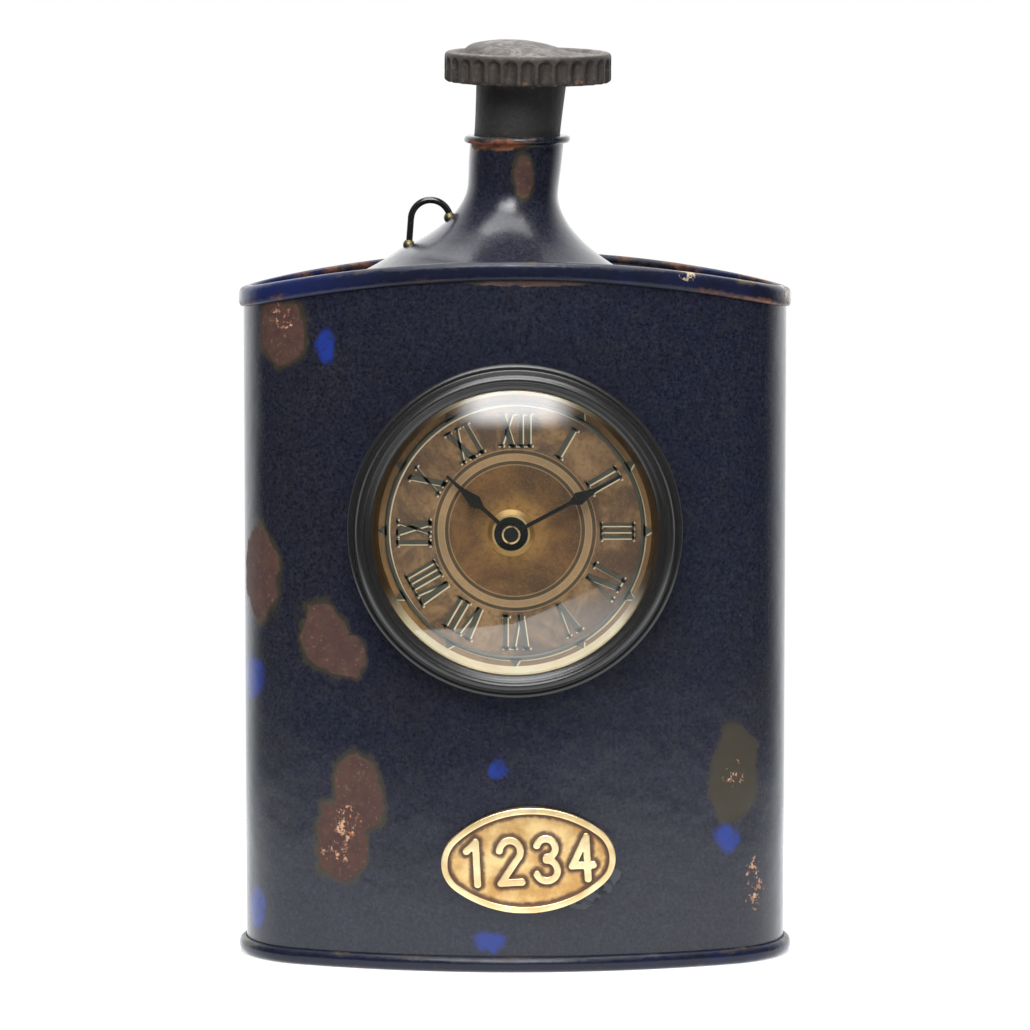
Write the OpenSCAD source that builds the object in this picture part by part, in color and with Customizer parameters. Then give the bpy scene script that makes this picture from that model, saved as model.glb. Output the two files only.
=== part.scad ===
// Bottle-shaped table clock: an oval enamelled tin flask with a leaning neck,
// a moulded stopper, a brass number plate and a round quartz clock insert.
// Millimetres. +Z is up, the dial faces -Y, the origin is the middle of the foot.

/* [Flask] */
// Width of the flask's wall
body_w = 144; // [136:1:160]
// Depth of the flask's wall, front to back
body_d = 68; // [66:1:84]
// Radius of the oval's two narrow ends
end_r = 24; // [20:1:28]
// Thickness of the tin
wall_t = 1; // [0.8:0.1:1.4]
// Height of the upper rim at its middle
rim_top_z = 186; // [180:1:210]
// How much lower the upper rim is at its two ends
rim_drop = 8; // [4:0.5:11]

/* [Rims] */
// Height of the upper binding rim
top_rim_h = 5; // [4:0.5:7]
// How far the upper rim stands out from the wall
top_rim_out = 1.2; // [0.8:0.1:1.8]
// Thickness of a rim where it folds over the edge of the wall
rim_fold_t = 0.9; // [0.7:0.1:1.2]
// Width of a rim's fold inside the wall
rim_lip_w = 0.8; // [0.6:0.1:1.2]
// Height of a rim's fold inside the wall
rim_lip_h = 2; // [1.6:0.1:2.4]
// Height of the foot rim
base_rim_h = 4.2; // [3.4:0.1:6]
// How far the foot rim stands out from the wall
base_rim_out = 2; // [1.4:0.1:2.6]
// Step of the rims' rounded edges
rim_round = 0.6; // [0.4:0.1:0.7]
// Width of the groove pressed round the bottom
base_groove_w = 7; // [5:0.5:12]
// Height of the bottom's edge above its middle
base_groove_h = 2.2; // [2.1:0.1:4]

/* [Shoulder and neck] */
// How far the shoulder's edge lies below the top of the upper rim
shoulder_drop = 3.1; // [3:0.1:5]
// Place of the neck's foot to the right of the middle
neck_x = -2; // [-3:0.5:0]
// Outer radius of the neck's flared foot
neck_foot_r = 28.5; // [26:0.5:29]
// How far the neck's foot lies below the top of the upper rim
neck_foot_drop = 0.4; // [0:0.1:1.5]
// Height of the flare
flare_h = 18.4; // [15:0.1:22]
// Height of the neck with its flare
neck_h = 33.4; // [30:0.1:45]
// Radius of the neck's bore
neck_bore_r = 11.4; // [10:0.1:12.4]
// Curve of the flare, higher is hollower
flare_power = 2.1; // [1.6:0.1:2.8]
// Radius of the bead rolled round the lip
lip_bead_r = 1; // [0.8:0.1:1.4]
// Lean of the neck to the right, in degrees
lean_side = 4.5; // [0:0.5:6]
// Lean of the neck to the front, in degrees
lean_front = 2; // [0:0.5:3]

/* [Stopper] */
// Length of the plug inside the neck
plug_in = 15; // [10:0.5:20]
// Length of the plug between the neck's lip and the head
plug_out = 13.3; // [6:0.1:20]
// How much wider the plug is at the head, on the radius
plug_flare = 0.6; // [0:0.1:1.5]
// Radius of the stopper's head
head_r = 22; // [18:0.5:25]
// Height of the head's fluted edge
head_h = 8; // [6:0.5:10]
// Height of the dome over the head's edge
head_dome_h = 3.2; // [2:0.2:5]
// How far the dome sits left of the head's middle
head_dome_shift = 3; // [0:0.5:4]
// Width of the raised rim on top of the head
head_rim_w = 3.6; // [2.5:0.1:5]
// Depth of the moat inside the head's rim
head_moat_h = 1; // [0.5:0.1:1.6]
// Sideways shift of the head from the plug's axis
head_shift = 1.7; // [0:0.1:2.5]
// Turn of the head against the plug towards the right, in degrees
head_tilt_side = -3.9; // [-5:0.1:3]
// Turn of the head against the plug towards the front, in degrees
head_tilt_front = 1.5; // [-2:0.1:4]
// Number of flutes round the head
flutes = 30; // [20:2:36]
// Radius of a flute
flute_r = 2.8; // [2:0.1:2.8]
// Depth of a flute
flute_depth = 0.8; // [0.4:0.1:1]
// Height of the seal ring on the plug
seal_h = 2.8; // [2:0.1:3.5]
// Thickness of the seal ring
seal_t = 1.3; // [1:0.1:2]
// Height of the seal ring above the end of the plug
seal_up = 2.2; // [1.8:0.1:3]

/* [Wire loop] */
// Diameter of the loop's wire
loop_wire_d = 1.8; // [1.4:0.1:2.2]
// Radius of the loop at the middle of its wire
loop_r = 5.2; // [4.6:0.1:5.6]
// Distance of the loop's middle from the neck's axis
loop_at = 21.1; // [20.6:0.1:22]
// Height of the loop's middle above the neck's foot
loop_up = 8.4; // [7.6:0.1:9.5]
// Radius of a solder blob
solder_r = 1.6; // [1.2:0.1:2]

/* [Number plate] */
// Width of the oval plate
plate_w = 45.6; // [40:0.2:52]
// Height of the oval plate
plate_h = 27.8; // [24:0.1:32]
// Radius of the plate's two narrow ends
plate_end_r = 9; // [7:0.5:10]
// Thickness of the plate's field
plate_t = 1.3; // [1:0.1:2]
// Width of the plate's raised rim
plate_rim_w = 1.7; // [1.2:0.1:2.5]
// Height of the raised rim and digits over the field
plate_relief = 0.8; // [0.4:0.1:1.2]
// Place of the plate to the right of the middle
plate_x = 3.5; // [-5:0.5:6]
// Height of the plate's middle
plate_z = 29.8; // [24:0.2:40]
// Tilt of the plate, in degrees
plate_tilt = 3; // [-5:0.5:5]
// Height of a digit
digit_h = 13; // [10:0.5:15]
// Width of a digit
digit_w = 7.4; // [6:0.2:8]
// Distance from digit to digit
digit_pitch = 9.4; // [8.4:0.2:10]
// Width of a digit's stroke
digit_stroke = 1.9; // [1.4:0.1:2.2]
// Width of the bare edge round the glue behind the plate
glue_margin = 1.2; // [0.5:0.1:3]

/* [Clock insert] */
// Height of the dial's middle
clock_z = 116; // [100:1:125]
// Outer radius of the insert's case
can_r = 41; // [40.6:0.1:44]
// Thickness of the insert's case
can_t = 1.2; // [0.8:0.1:1.4]
// Thickness of the rubber gasket round the case
gasket_t = 1.1; // [0.8:0.1:1.5]
// Length of the gasket
gasket_len = 9; // [8:0.5:12]
// How far the bezel stands out beyond the case
bezel_over = 2.5; // [2:0.1:3.5]
// Height of the bezel
bezel_h = 7.8; // [7:0.1:10]
// Thickness of the bezel's outer flange
bezel_flange_t = 2.2; // [1.5:0.1:3]
// Width of the bezel's flange outside its main ring
bezel_step_w = 1.9; // [1.5:0.1:2]
// Width from the case's outside to the bezel's opening
bezel_in = 4; // [3.6:0.1:5]
// Depth from the bezel's front to the glass's edge
bezel_lip_h = 3; // [2.4:0.1:3.6]
// Thickness of the glass
glass_t = 1.1; // [0.8:0.1:1.5]
// Rise of the domed glass
glass_rise = 4.5; // [3:0.1:6]
// Depth of the dial behind the flask's front
dial_d = 1.2; // [0.8:0.1:2]
// Slope of the inner ring, on the radius
rehaut_slope = 1.5; // [0.8:0.1:2.2]
// Thickness of the ledge that carries the dial
ledge_t = 0.6; // [0.4:0.1:0.7]
// Width of the ledge that carries the dial
ledge_w = 2.2; // [1.5:0.1:2.4]

/* [Dial and hands] */
// Thickness of the dial
dial_t = 0.5; // [0.3:0.05:0.7]
// Inner radius of the raised double ring
dial_ring_r = 17.8; // [14:0.2:20]
// Width of the raised double ring
dial_ring_w = 2.7; // [1.5:0.1:4]
// Height of the raised double ring
dial_ring_h = 0.15; // [0.1:0.05:0.3]
// Place of the hands' axis to the right of the dial's middle
arbor_x = -1; // [-1.2:0.1:0]
// Place of the hands' axis above the dial's middle
arbor_up = -0.6; // [-1:0.1:0]
// Radius of the round fixing nut
nut_r = 6.1; // [5:0.1:7]
// Height of the fixing nut
nut_h = 2; // [1.5:0.1:2.5]
// Thickness of a hand
hand_t = 0.4; // [0.3:0.05:0.6]
// Gap from the fixing nut to the hour hand
hour_gap = 0.4; // [0.3:0.1:0.8]
// Gap from the hour hand to the minute hand
minute_gap = 0.9; // [0.5:0.1:1.2]
// Length of the minute hand
minute_len = 32.4; // [28:0.2:33]
// Length of the hour hand
hour_len = 22.5; // [18:0.5:25]
// Radius of the hour hand's hub
hour_hub_r = 4.4; // [3.5:0.1:5]
// Radius of the minute hand's hub
minute_hub_r = 3.2; // [2.8:0.1:3.8]
// Width of a hand's shaft
hand_w = 1.05; // [0.8:0.05:1.4]
// Width of a hand's lozenge
hand_wide = 3.6; // [2.6:0.1:4.4]
// Radius of the cap nut
cap_r = 2.7; // [2:0.1:3]
// Height of the cap nut
cap_h = 1.6; // [1.2:0.1:2]
// Clock angle of the minute hand, in degrees
minute_angle = 62; // [0:1:359]
// Clock angle of the hour hand, in degrees
hour_angle = 312; // [0:1:359]

/* [Movement] */
// Width of the square movement
move_w = 56; // [55:0.2:56.2]
// Radius of the movement's corners
move_corner_r = 3.4; // [3:0.1:5]
// Wall of the movement's case
case_t = 1.2; // [1:0.1:1.4]
// Height of the rubber washer behind the dial
washer_t = 0.7; // [0.65:0.05:1]
// Outer radius of the rubber washer
washer_r = 9; // [7:0.5:12]
// Outer radius of the movement's threaded post
post_r = 3.8; // [3.5:0.1:4.4]
// Radius of the minute arbor
arbor_r = 1; // [0.8:0.05:1.1]
// Wall of the hour pipe
pipe_t = 0.7; // [0.5:0.05:0.9]
// Thickness of the plate that carries the wheels
train_plate_t = 1; // [0.8:0.1:1.4]
// Radius of the posts inside the case
stud_r = 1.2; // [1:0.05:1.3]
// Shank radius of the train plate's screws
screw_r = 0.6; // [0.5:0.05:0.7]
// Radius of the setting knob
knob_r = 5.2; // [4:0.1:6]
// Height of the setting knob
knob_h = 3.2; // [2:0.1:4]
// Radius of the setting knob's stem
stem_r = 1.5; // [1.2:0.1:1.8]

/* [Wheels] */
// Tooth module of the wheels under the dial
motion_m = 0.4; // [0.39:0.005:0.41]
// Tooth module of the going train
train_m = 0.3; // [0.29:0.005:0.31]
// Thickness of a wheel
wheel_t = 0.8; // [0.6:0.05:0.9]
// Gap from one layer of wheels to the next
layer_gap = 0.4; // [0.3:0.05:0.5]
// Radius of a thin pivot
pivot_r = 0.5; // [0.4:0.05:0.6]
// Radius of the rotor's magnet
magnet_r = 2.7; // [2.2:0.1:2.9]
// Height of the rotor's magnet
magnet_h = 3; // [2:0.1:3]

/* [Coil and battery] */
// Outer radius of the coil's winding
coil_r = 2.7; // [2.2:0.1:2.8]
// Length of the bobbin
coil_len = 22; // [18:0.5:22]
// Thickness of the stator
stator_t = 1; // [0.8:0.1:1.2]
// Diameter of the battery
battery_d = 14.5; // [13.5:0.1:14.6]
// Length of the battery
battery_len = 50.5; // [49:0.1:50.8]
// Thickness of a contact strip
contact_t = 0.4; // [0.3:0.05:0.5]

/* [Clearances] */
// Radial clearance of a shaft in its hole
run_clear = 0.05; // [0.03:0.01:0.08]
// Radial clearance of the plug in the neck
plug_clear = 0.1; // [0.06:0.01:0.1]
// Gap between the bezel and the flask
seat_gap = 0.2; // [0.1:0.05:0.4]
// Gap between sheets that are soldered together
seam_gap = 0.05; // [0.03:0.01:0.1]
// Gap beside a piece that lies loose in a pocket
side_gap = 0.3; // [0.2:0.05:0.4]

/* [Hidden] */
$fn = 72;
// Facets of the widest arcs, so that their mesh lies close to the true curve
wide_fn = 720;
// Small overlap that keeps a cut from ending on a face
eps = 0.01;
// Length that runs through anything
far = 400;

// The plan's arcs
half_w = body_w / 2;
half_d = body_d / 2;
function side_r(a, b, e) = ((a - e) * (a - e) + b * b - e * e) / (2 * (b - e));
face_r = side_r(half_w, half_d, end_r);

// The arched top: a cylinder across the flask
arch_r = (half_w * half_w + rim_drop * rim_drop) / (2 * rim_drop);
arch_z = rim_top_z - arch_r;
function arch_at(x, below) = arch_z + sqrt(pow(arch_r - below, 2) - x * x);

// The neck's profile, from its foot up
neck_r = neck_bore_r + wall_t;
neck_foot_z = rim_top_z - neck_foot_drop;
flare_steps = 14;
function flare_at(z) = neck_r + (neck_foot_r - neck_r) * pow(1 - z / flare_h, flare_power);
function flare_slope(z) =
    (neck_foot_r - neck_r) * flare_power / flare_h * pow(1 - z / flare_h, flare_power - 1);
function flare_z(r) = flare_h * (1 - pow((r - neck_r) / (neck_foot_r - neck_r), 1 / flare_power));
function flare_in(z) = let (s = flare_slope(z), l = sqrt(1 + s * s))
    [flare_at(z) - wall_t / l, z - wall_t * s / l];

// The shoulder's rings: points on the oval's edge, at even steps of its normal
end_steps = 14;
face_steps = 16;
shoulder_rings = 7;
shoulder_power = 1.5;
edge_in = wall_t + seam_gap;
function oval_at(a, b, e, n) = let (r = side_r(a, b, e), t = atan2(r - b, a - e))
    n < t ? [a - e + e * cos(n), e * sin(n)]
    : n < 180 - t ? [r * cos(n), r * sin(n) - (r - b)]
    : n < 180 + t ? [-(a - e) + e * cos(n), e * sin(n)]
    : n < 360 - t ? [r * cos(n), r * sin(n) + (r - b)]
    : [a - e + e * cos(n), e * sin(n)];
tangent_n = atan2(face_r - half_d, half_w - end_r);
normals = concat(
    [for (i = [0:end_steps - 1]) -tangent_n + 2 * tangent_n * i / end_steps],
    [for (i = [0:face_steps - 1]) tangent_n + (180 - 2 * tangent_n) * i / face_steps],
    [for (i = [0:end_steps - 1]) 180 - tangent_n + 2 * tangent_n * i / end_steps],
    [for (i = [0:face_steps - 1]) 180 + tangent_n + (180 - 2 * tangent_n) * i / face_steps]);
function edge_point(n) =
    let (p = oval_at(half_w - edge_in, half_d - edge_in, end_r - edge_in, n < 0 ? n + 360 : n))
    [p.x, p.y, arch_at(p.x, shoulder_drop)];
// A point of the neck's frame, in the flask's frame
function lean(p) = let (y = p.y * cos(lean_front) - p.z * sin(lean_front),
        z = p.y * sin(lean_front) + p.z * cos(lean_front))
    [neck_x + p.x * cos(lean_side) + z * sin(lean_side), y,
        neck_foot_z - p.x * sin(lean_side) + z * cos(lean_side)];
foot_in = flare_in(0);
function foot_turn(n) = let (e = edge_point(n)) atan2(e.y, e.x - neck_x);
function foot_point(n, r, z) = let (a = foot_turn(n)) lean([r * cos(a), r * sin(a), z]);
// The shoulder's innermost ring is a polygon that goes round the neck's foot
function turn_step(i) = (foot_turn(normals[(i + 1) % len(normals)]) - foot_turn(normals[i]) + 360) % 360;
foot_ring_r = (neck_foot_r + seam_gap) / cos(max([for (i = [0:len(normals) - 1]) turn_step(i)]) / 2);
foot_ring_gap = foot_ring_r - neck_foot_r;
function mix(p, q, s) = [p.x + (q.x - p.x) * s, p.y + (q.y - p.y) * s,
    p.z + (q.z - p.z) * pow(s, shoulder_power)];

// A digit's strokes swell a little at their ends
stroke_end_r = 0.53 * digit_stroke;

// The stopper, in the neck's frame
plug_r = neck_bore_r - plug_clear;
plug_end = neck_h - plug_in;
seal_in_r = neck_bore_r - run_clear - seal_t;
head_z = neck_h + plug_out;

// The insert's depths, counted from the flask's front, positive into the flask
bezel_r = can_r + bezel_over;
bezel_open_r = can_r - bezel_in;
bezel_back = -seat_gap;
bezel_front = bezel_back - bezel_h;
glass_front = bezel_front + bezel_lip_h;
glass_back = glass_front + glass_t;
can_in_r = can_r - can_t;
seat_r = can_in_r - seam_gap;
hole_r = can_r + gasket_t + run_clear;
dial_back = dial_d + dial_t;
ledge_back = dial_back + ledge_t;
case_front = dial_back + washer_t;
case_floor = case_front + case_t;
battery_axis_d = case_floor + side_gap + battery_d / 2;
cover_front = battery_axis_d + battery_d / 2 - case_t / 2;
cover_back = cover_front + case_t;

// The wheels' layers
hour_layer = case_floor + side_gap;
cannon_layer = hour_layer + wheel_t + layer_gap;
centre_layer = cannon_layer + wheel_t + layer_gap;
third_layer = centre_layer + wheel_t + layer_gap;
magnet_front = third_layer + wheel_t + layer_gap;
magnet_back = magnet_front + magnet_h;
stator_front = magnet_front + (magnet_h - stator_t) / 2;
plate_front = magnet_back + 2 * layer_gap;
plate_back = plate_front + train_plate_t;

// The hands' stack, towards the viewer
nut_front = dial_d - nut_h;
hour_back = nut_front - hour_gap;
hour_front = hour_back - hand_t;
minute_back = hour_front - minute_gap;
minute_front = minute_back - hand_t;
cap_front = minute_front - cap_h;
pipe_in_r = arbor_r + run_clear;
pipe_r = pipe_in_r + pipe_t;
post_in_r = pipe_r + run_clear;

// Teeth: the hour hand turns once while the minute hand turns twelve times
cannon_z = 12;
minute_z = 36;
idler_z = 10;
hour_z = 40;
setting_z = 12;
// Teeth of the going train: the rotor turns thirty times in an hour
centre_z = 60;
pinion_z = 10;
third_z = 50;
// Tooth form: addendum and dedendum as shares of the module, and the teeth's widths as
// shares of half a pitch at the pitch circle, of that at the tip and at the root
addendum = 0.8;
dedendum = 1.05;
tooth_fill = 0.76;
tooth_tip = 0.42;
tooth_root = 1.25;

// The wheels' places, as angles in the insert's frame: 0 is to the right, -90 is up
idler_dir = 0;
setting_dir = -30;
third_dir = -120;
rotor_dir = -60;
idler_m = motion_m * (cannon_z + minute_z) / (idler_z + hour_z);
function polar(r, a) = [r * cos(a), r * sin(a)];
idler_at = polar(motion_m * (cannon_z + minute_z) / 2, idler_dir);
setting_at = idler_at + polar(motion_m * (minute_z + setting_z) / 2, setting_dir);
third_at = polar(train_m * (centre_z + pinion_z) / 2, third_dir);
rotor_at = third_at + polar(train_m * (third_z + pinion_z) / 2, rotor_dir);
// Tooth phase of a wheel that meshes with another, which lies in direction dir from it
function mesh(z_from, phase, z_to, dir) = dir + 180 - (180 - z_from * (dir - phase)) / z_to;
idler_phase = mesh(cannon_z, 0, minute_z, idler_dir);
hour_phase = mesh(idler_z, 0, hour_z, idler_dir + 180);
setting_phase = mesh(minute_z, idler_phase, setting_z, setting_dir);
third_phase = mesh(centre_z, 0, pinion_z, third_dir);
rotor_phase = mesh(third_z, 0, pinion_z, rotor_dir);

// Inside the movement; up is negative in the insert's frame
room = move_w / 2 - case_t;
battery_y = room - side_gap - battery_d / 2;
rib_y = battery_y - battery_d / 2 - side_gap;
rib_t = 1;
rib_gap = 0.6;
studs = [[-10.5, rib_y - rib_t - stud_r - rib_gap], [12.5, -10.5], [-15.5, -16]];
screw_len = 3.6;
coil_wall_gap = 0.8;
coil_aside = 1.3;
coil_y = -(room - coil_r - coil_wall_gap);
coil_x = rotor_at.x + coil_aside;
flange_over = 0.4;
flange_r = coil_r + flange_over;
bobbin_wall = 0.5;
bobbin_end_t = 0.8;
stator_edge = 1.4;
stator_low = rotor_at.y + magnet_r + stator_edge;
stator_high = coil_y + flange_r + side_gap;
arm_w = 2;
arm_x = coil_len / 2 + side_gap;
magnet_gap = 0.6;
stator_hole_r = magnet_r + magnet_gap;
core_w = 1.6;
bobbin_r = core_w / 2 + bobbin_wall;
board_w = 7.4;
board_t = 0.8;
board_x = -room + 0.5;
board_mid = board_x + board_w / 2;
board_y = [-22, 8.6];
board_front = plate_front - board_t;
board_stud_in = 3;
board_studs = [[board_mid, board_y[0] + board_stud_in], [board_mid, board_y[1] - board_stud_in]];

module oval(a, b, e) {
    r = side_r(a, b, e);
    union() {
        intersection() {
            translate([0, b - r]) circle(r = r, $fn = wide_fn);
            translate([0, r - b]) circle(r = r, $fn = wide_fn);
            square([2 * (a - e) * r / (r - e), 3 * b], center = true);
        }
        for (s = [-1, 1]) translate([s * (a - e), 0]) circle(r = e);
    }
}

// The flask's plan, grown outwards
module plan(out) {
    oval(half_w + out, half_d + out, end_r + out);
}

// Everything under the arched top, less what lies above it
module under_arch(below) {
    translate([0, 0, arch_z]) rotate([90, 0, 0])
        cylinder(r = arch_r - below, h = far, center = true, $fn = wide_fn);
}

module neck_frame() {
    translate([neck_x, 0, neck_foot_z]) rotate([lean_front, lean_side, 0]) children();
}

// The insert's frame: x to the right, y down, z into the flask
module clock_frame() {
    translate([0, -half_d, clock_z]) rotate([-90, 0, 0]) children();
}

// The same, with the hands' axis as its origin
module arbor_frame() {
    clock_frame() translate([arbor_x, -arbor_up, 0]) children();
}

module plate_frame() {
    translate([plate_x, -half_d - seam_gap, plate_z]) rotate([90, 0, 0])
        rotate([0, 0, plate_tilt]) children();
}

// A ring between two depths
module ring(r_out, r_in, from, to) {
    translate([0, 0, from]) difference() {
        cylinder(r = r_out, h = to - from);
        translate([0, 0, -eps]) cylinder(r = r_in, h = to - from + 2 * eps);
    }
}

module rod(r, from, to) {
    translate([0, 0, from]) cylinder(r = r, h = to - from);
}

// Flask

module body_shell() {
    color("#1d2233") difference() {
        intersection() {
            translate([0, 0, rim_fold_t]) linear_extrude(rim_top_z) plan(0);
            under_arch(rim_fold_t);
        }
        translate([0, 0, -eps]) linear_extrude(far) plan(-wall_t);
        clock_frame() rod(hole_r, -half_d / 2, half_d);
    }
}

module top_rim() {
    color("#27345e") difference() {
        union() {
            for (tier = [[top_rim_out, rim_round], [top_rim_out - rim_round, 0]])
                intersection() {
                    linear_extrude(far) plan(tier[0]);
                    difference() {
                        under_arch(tier[1]);
                        under_arch(top_rim_h - tier[1]);
                    }
                }
        }
        difference() {
            translate([0, 0, -eps]) linear_extrude(far) plan(0);
            difference() {
                translate([0, 0, -eps]) linear_extrude(far) plan(0);
                under_arch(rim_fold_t);
            }
            difference() {
                translate([0, 0, -eps]) linear_extrude(far) plan(-wall_t - seam_gap);
                under_arch(rim_lip_h);
            }
        }
        translate([0, 0, -eps]) linear_extrude(far) plan(-wall_t - seam_gap - rim_lip_w);
    }
}

module base_rim() {
    color("#27345e") difference() {
        union() {
            translate([0, 0, rim_round])
                linear_extrude(base_rim_h - 2 * rim_round) plan(base_rim_out);
            linear_extrude(base_rim_h) plan(base_rim_out - rim_round);
        }
        translate([0, 0, rim_fold_t]) difference() {
            linear_extrude(far) plan(0);
            translate([0, 0, -eps])
                linear_extrude(rim_lip_h - rim_fold_t + eps) plan(-wall_t - seam_gap);
        }
        translate([0, 0, -eps]) linear_extrude(far) plan(-wall_t - seam_gap - rim_lip_w);
    }
}

module base_plate() {
    color("#1a1f2e") difference() {
        union() {
            linear_extrude(base_groove_h + wall_t) plan(-base_groove_w);
            translate([0, 0, base_groove_h]) linear_extrude(wall_t) plan(-edge_in);
        }
        translate([0, 0, wall_t]) linear_extrude(far) plan(-base_groove_w - wall_t);
    }
}

module shoulder() {
    n = len(normals);
    outer = [for (k = [0:shoulder_rings], a = normals)
        mix(edge_point(a), foot_point(a, foot_ring_r, 0), k / shoulder_rings)];
    inner = [for (k = [0:shoulder_rings], a = normals)
        mix(edge_point(a) - [0, 0, wall_t], foot_point(a, foot_in.x + foot_ring_gap, foot_in.y),
            k / shoulder_rings)];
    m = len(outer);
    top = [for (k = [0:shoulder_rings - 1], i = [0:n - 1])
        let (a = k * n + i, b = k * n + (i + 1) % n) each [[a, a + n, b], [b, a + n, b + n]]];
    low = [for (f = top) [f[0] + m, f[2] + m, f[1] + m]];
    last = shoulder_rings * n;
    rim = [for (i = [0:n - 1]) let (j = (i + 1) % n)
        each [[i, j, i + m], [j, j + m, i + m],
            [last + i, last + i + m, last + j], [last + j, last + i + m, last + j + m]]];
    color("#20263a") polyhedron(points = concat(outer, inner), faces = concat(top, low, rim));
}

module neck() {
    outer = [for (i = [0:flare_steps]) let (z = flare_h * i / flare_steps) [flare_at(z), z]];
    inner = [for (i = [0:flare_steps]) flare_in(flare_h * (1 - i / flare_steps))];
    color("#20263a") neck_frame() rotate_extrude() union() {
        polygon(concat(outer, [[neck_r, neck_h], [neck_bore_r, neck_h]], inner));
        difference() {
            translate([neck_r + 0.7 * lip_bead_r, neck_h - lip_bead_r]) circle(r = lip_bead_r);
            square([neck_bore_r + wall_t / 2, far]);
        }
    }
}

// The neck's outside as a solid, to fit the loop's feet to it
module neck_solid() {
    rotate_extrude() polygon(concat([[0, -flare_h], [neck_foot_r, -flare_h]],
        [for (i = [0:flare_steps]) let (z = flare_h * i / flare_steps) [flare_at(z), z]],
        [[neck_r, neck_h], [0, neck_h]]));
}

// The bend runs on past its half turn at the neck's side; the straight leg, a hair
// thinner, ends a little way inside the bend
module loop_bent_wire() {
    overrun = 20;
    joint = 0.3;
    translate([-loop_at, 0, loop_up]) {
        rotate([90, 0, 0]) rotate([0, 0, -overrun]) rotate_extrude(angle = 180 + overrun)
            translate([loop_r, 0]) circle(d = loop_wire_d);
        translate([-loop_r, 0, -loop_up])
            cylinder(d = loop_wire_d - 0.2 * joint, h = loop_up + joint);
    }
}

module wire_loop() {
    color("#15161c") neck_frame() difference() {
        loop_bent_wire();
        neck_solid();
    }
}

module loop_solder() {
    arc_foot = 0.97;
    feet = [loop_at + loop_r, loop_at - arc_foot * loop_r];
    color("#6b6a58") neck_frame() difference() {
        for (r = feet) translate([-r, 0, flare_z(r)]) sphere(r = solder_r);
        loop_bent_wire();
        neck_solid();
    }
}

// Number plate

module stroke(p, q) {
    d = q - p;
    for (c = [p, q]) translate(c) circle(r = stroke_end_r);
    translate(p) rotate(atan2(d.y, d.x)) translate([0, -digit_stroke / 2])
        square([norm(d), digit_stroke]);
}

module arc_stroke(c, r, from, to) {
    translate(c) {
        intersection() {
            difference() {
                circle(r = r + digit_stroke / 2);
                circle(r = r - digit_stroke / 2);
            }
            polygon(concat([[0, 0]], [for (i = [0:8]) polar(3 * r, from + (to - from) * i / 8)]));
        }
        for (a = [from, to]) translate(polar(r, a)) circle(r = stroke_end_r);
    }
}

// Plain digits, each centred on its own place
module digit(n) {
    w = (digit_w - digit_stroke) / 2;
    h = (digit_h - digit_stroke) / 2;
    low_r = (2 * h - w * 0.9) / 2;
    two_low = -35;
    if (n == 1) {
        stroke([0.2 * w, -h], [0.2 * w, h]);
        stroke([0.2 * w, h], [-0.7 * w, 0.6 * h]);
    }
    if (n == 2) {
        arc_stroke([0, h - w], w, two_low, 175);
        stroke([0, h - w] + polar(w, two_low), [-w, -h]);
        stroke([-w, -h], [w, -h]);
    }
    if (n == 3) {
        arc_stroke([0, h - 0.9 * w], 0.9 * w, -90, 160);
        arc_stroke([0, -h + low_r * 0.64], low_r * 0.64, -160, 90);
        stroke([0, h - 1.8 * w], [0, -h + low_r * 1.28]);
    }
    if (n == 4) {
        stroke([0.45 * w, -h], [0.45 * w, h]);
        stroke([0.45 * w, h], [-w, -0.35 * h]);
        stroke([-w, -0.35 * h], [w, -0.35 * h]);
    }
}

module number_plate() {
    a = plate_w / 2;
    b = plate_h / 2;
    color("#b08a4a") plate_frame() {
        linear_extrude(plate_t) oval(a, b, plate_end_r);
        linear_extrude(plate_t + plate_relief) difference() {
            oval(a, b, plate_end_r);
            oval(a - plate_rim_w, b - plate_rim_w, plate_end_r - plate_rim_w);
        }
        linear_extrude(plate_t + plate_relief)
            for (i = [0:3]) translate([(i - 1.5) * digit_pitch, 0]) digit(i + 1);
    }
}

// The glue fills the gap to the curved wall, which it meets in narrow upright flats
module plate_adhesive() {
    flats = 40;
    touch_r = face_r / cos(asin(plate_w / 2 / face_r) / flats);
    wall = [for (i = [0:flats]) let (x = plate_x + plate_w * (i / flats - 0.5))
        [x, face_r - half_d - sqrt(touch_r * touch_r - x * x)]];
    front = -half_d - plate_t;
    color("#4a4c55") intersection() {
        plate_frame() translate([0, 0, -end_r / 2]) linear_extrude(end_r / 2)
            oval(plate_w / 2 - glue_margin, plate_h / 2 - glue_margin, plate_end_r - glue_margin);
        translate([0, 0, plate_z - plate_h]) linear_extrude(2 * plate_h)
            polygon(concat(wall, [[plate_x + plate_w / 2, front], [plate_x - plate_w / 2, front]]));
    }
}

// Stopper

module seal_ring() {
    from = plug_end + seal_up + run_clear;
    color("#2a2826") neck_frame() ring(neck_bore_r - run_clear, seal_in_r, from, from + seal_h);
}

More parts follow.
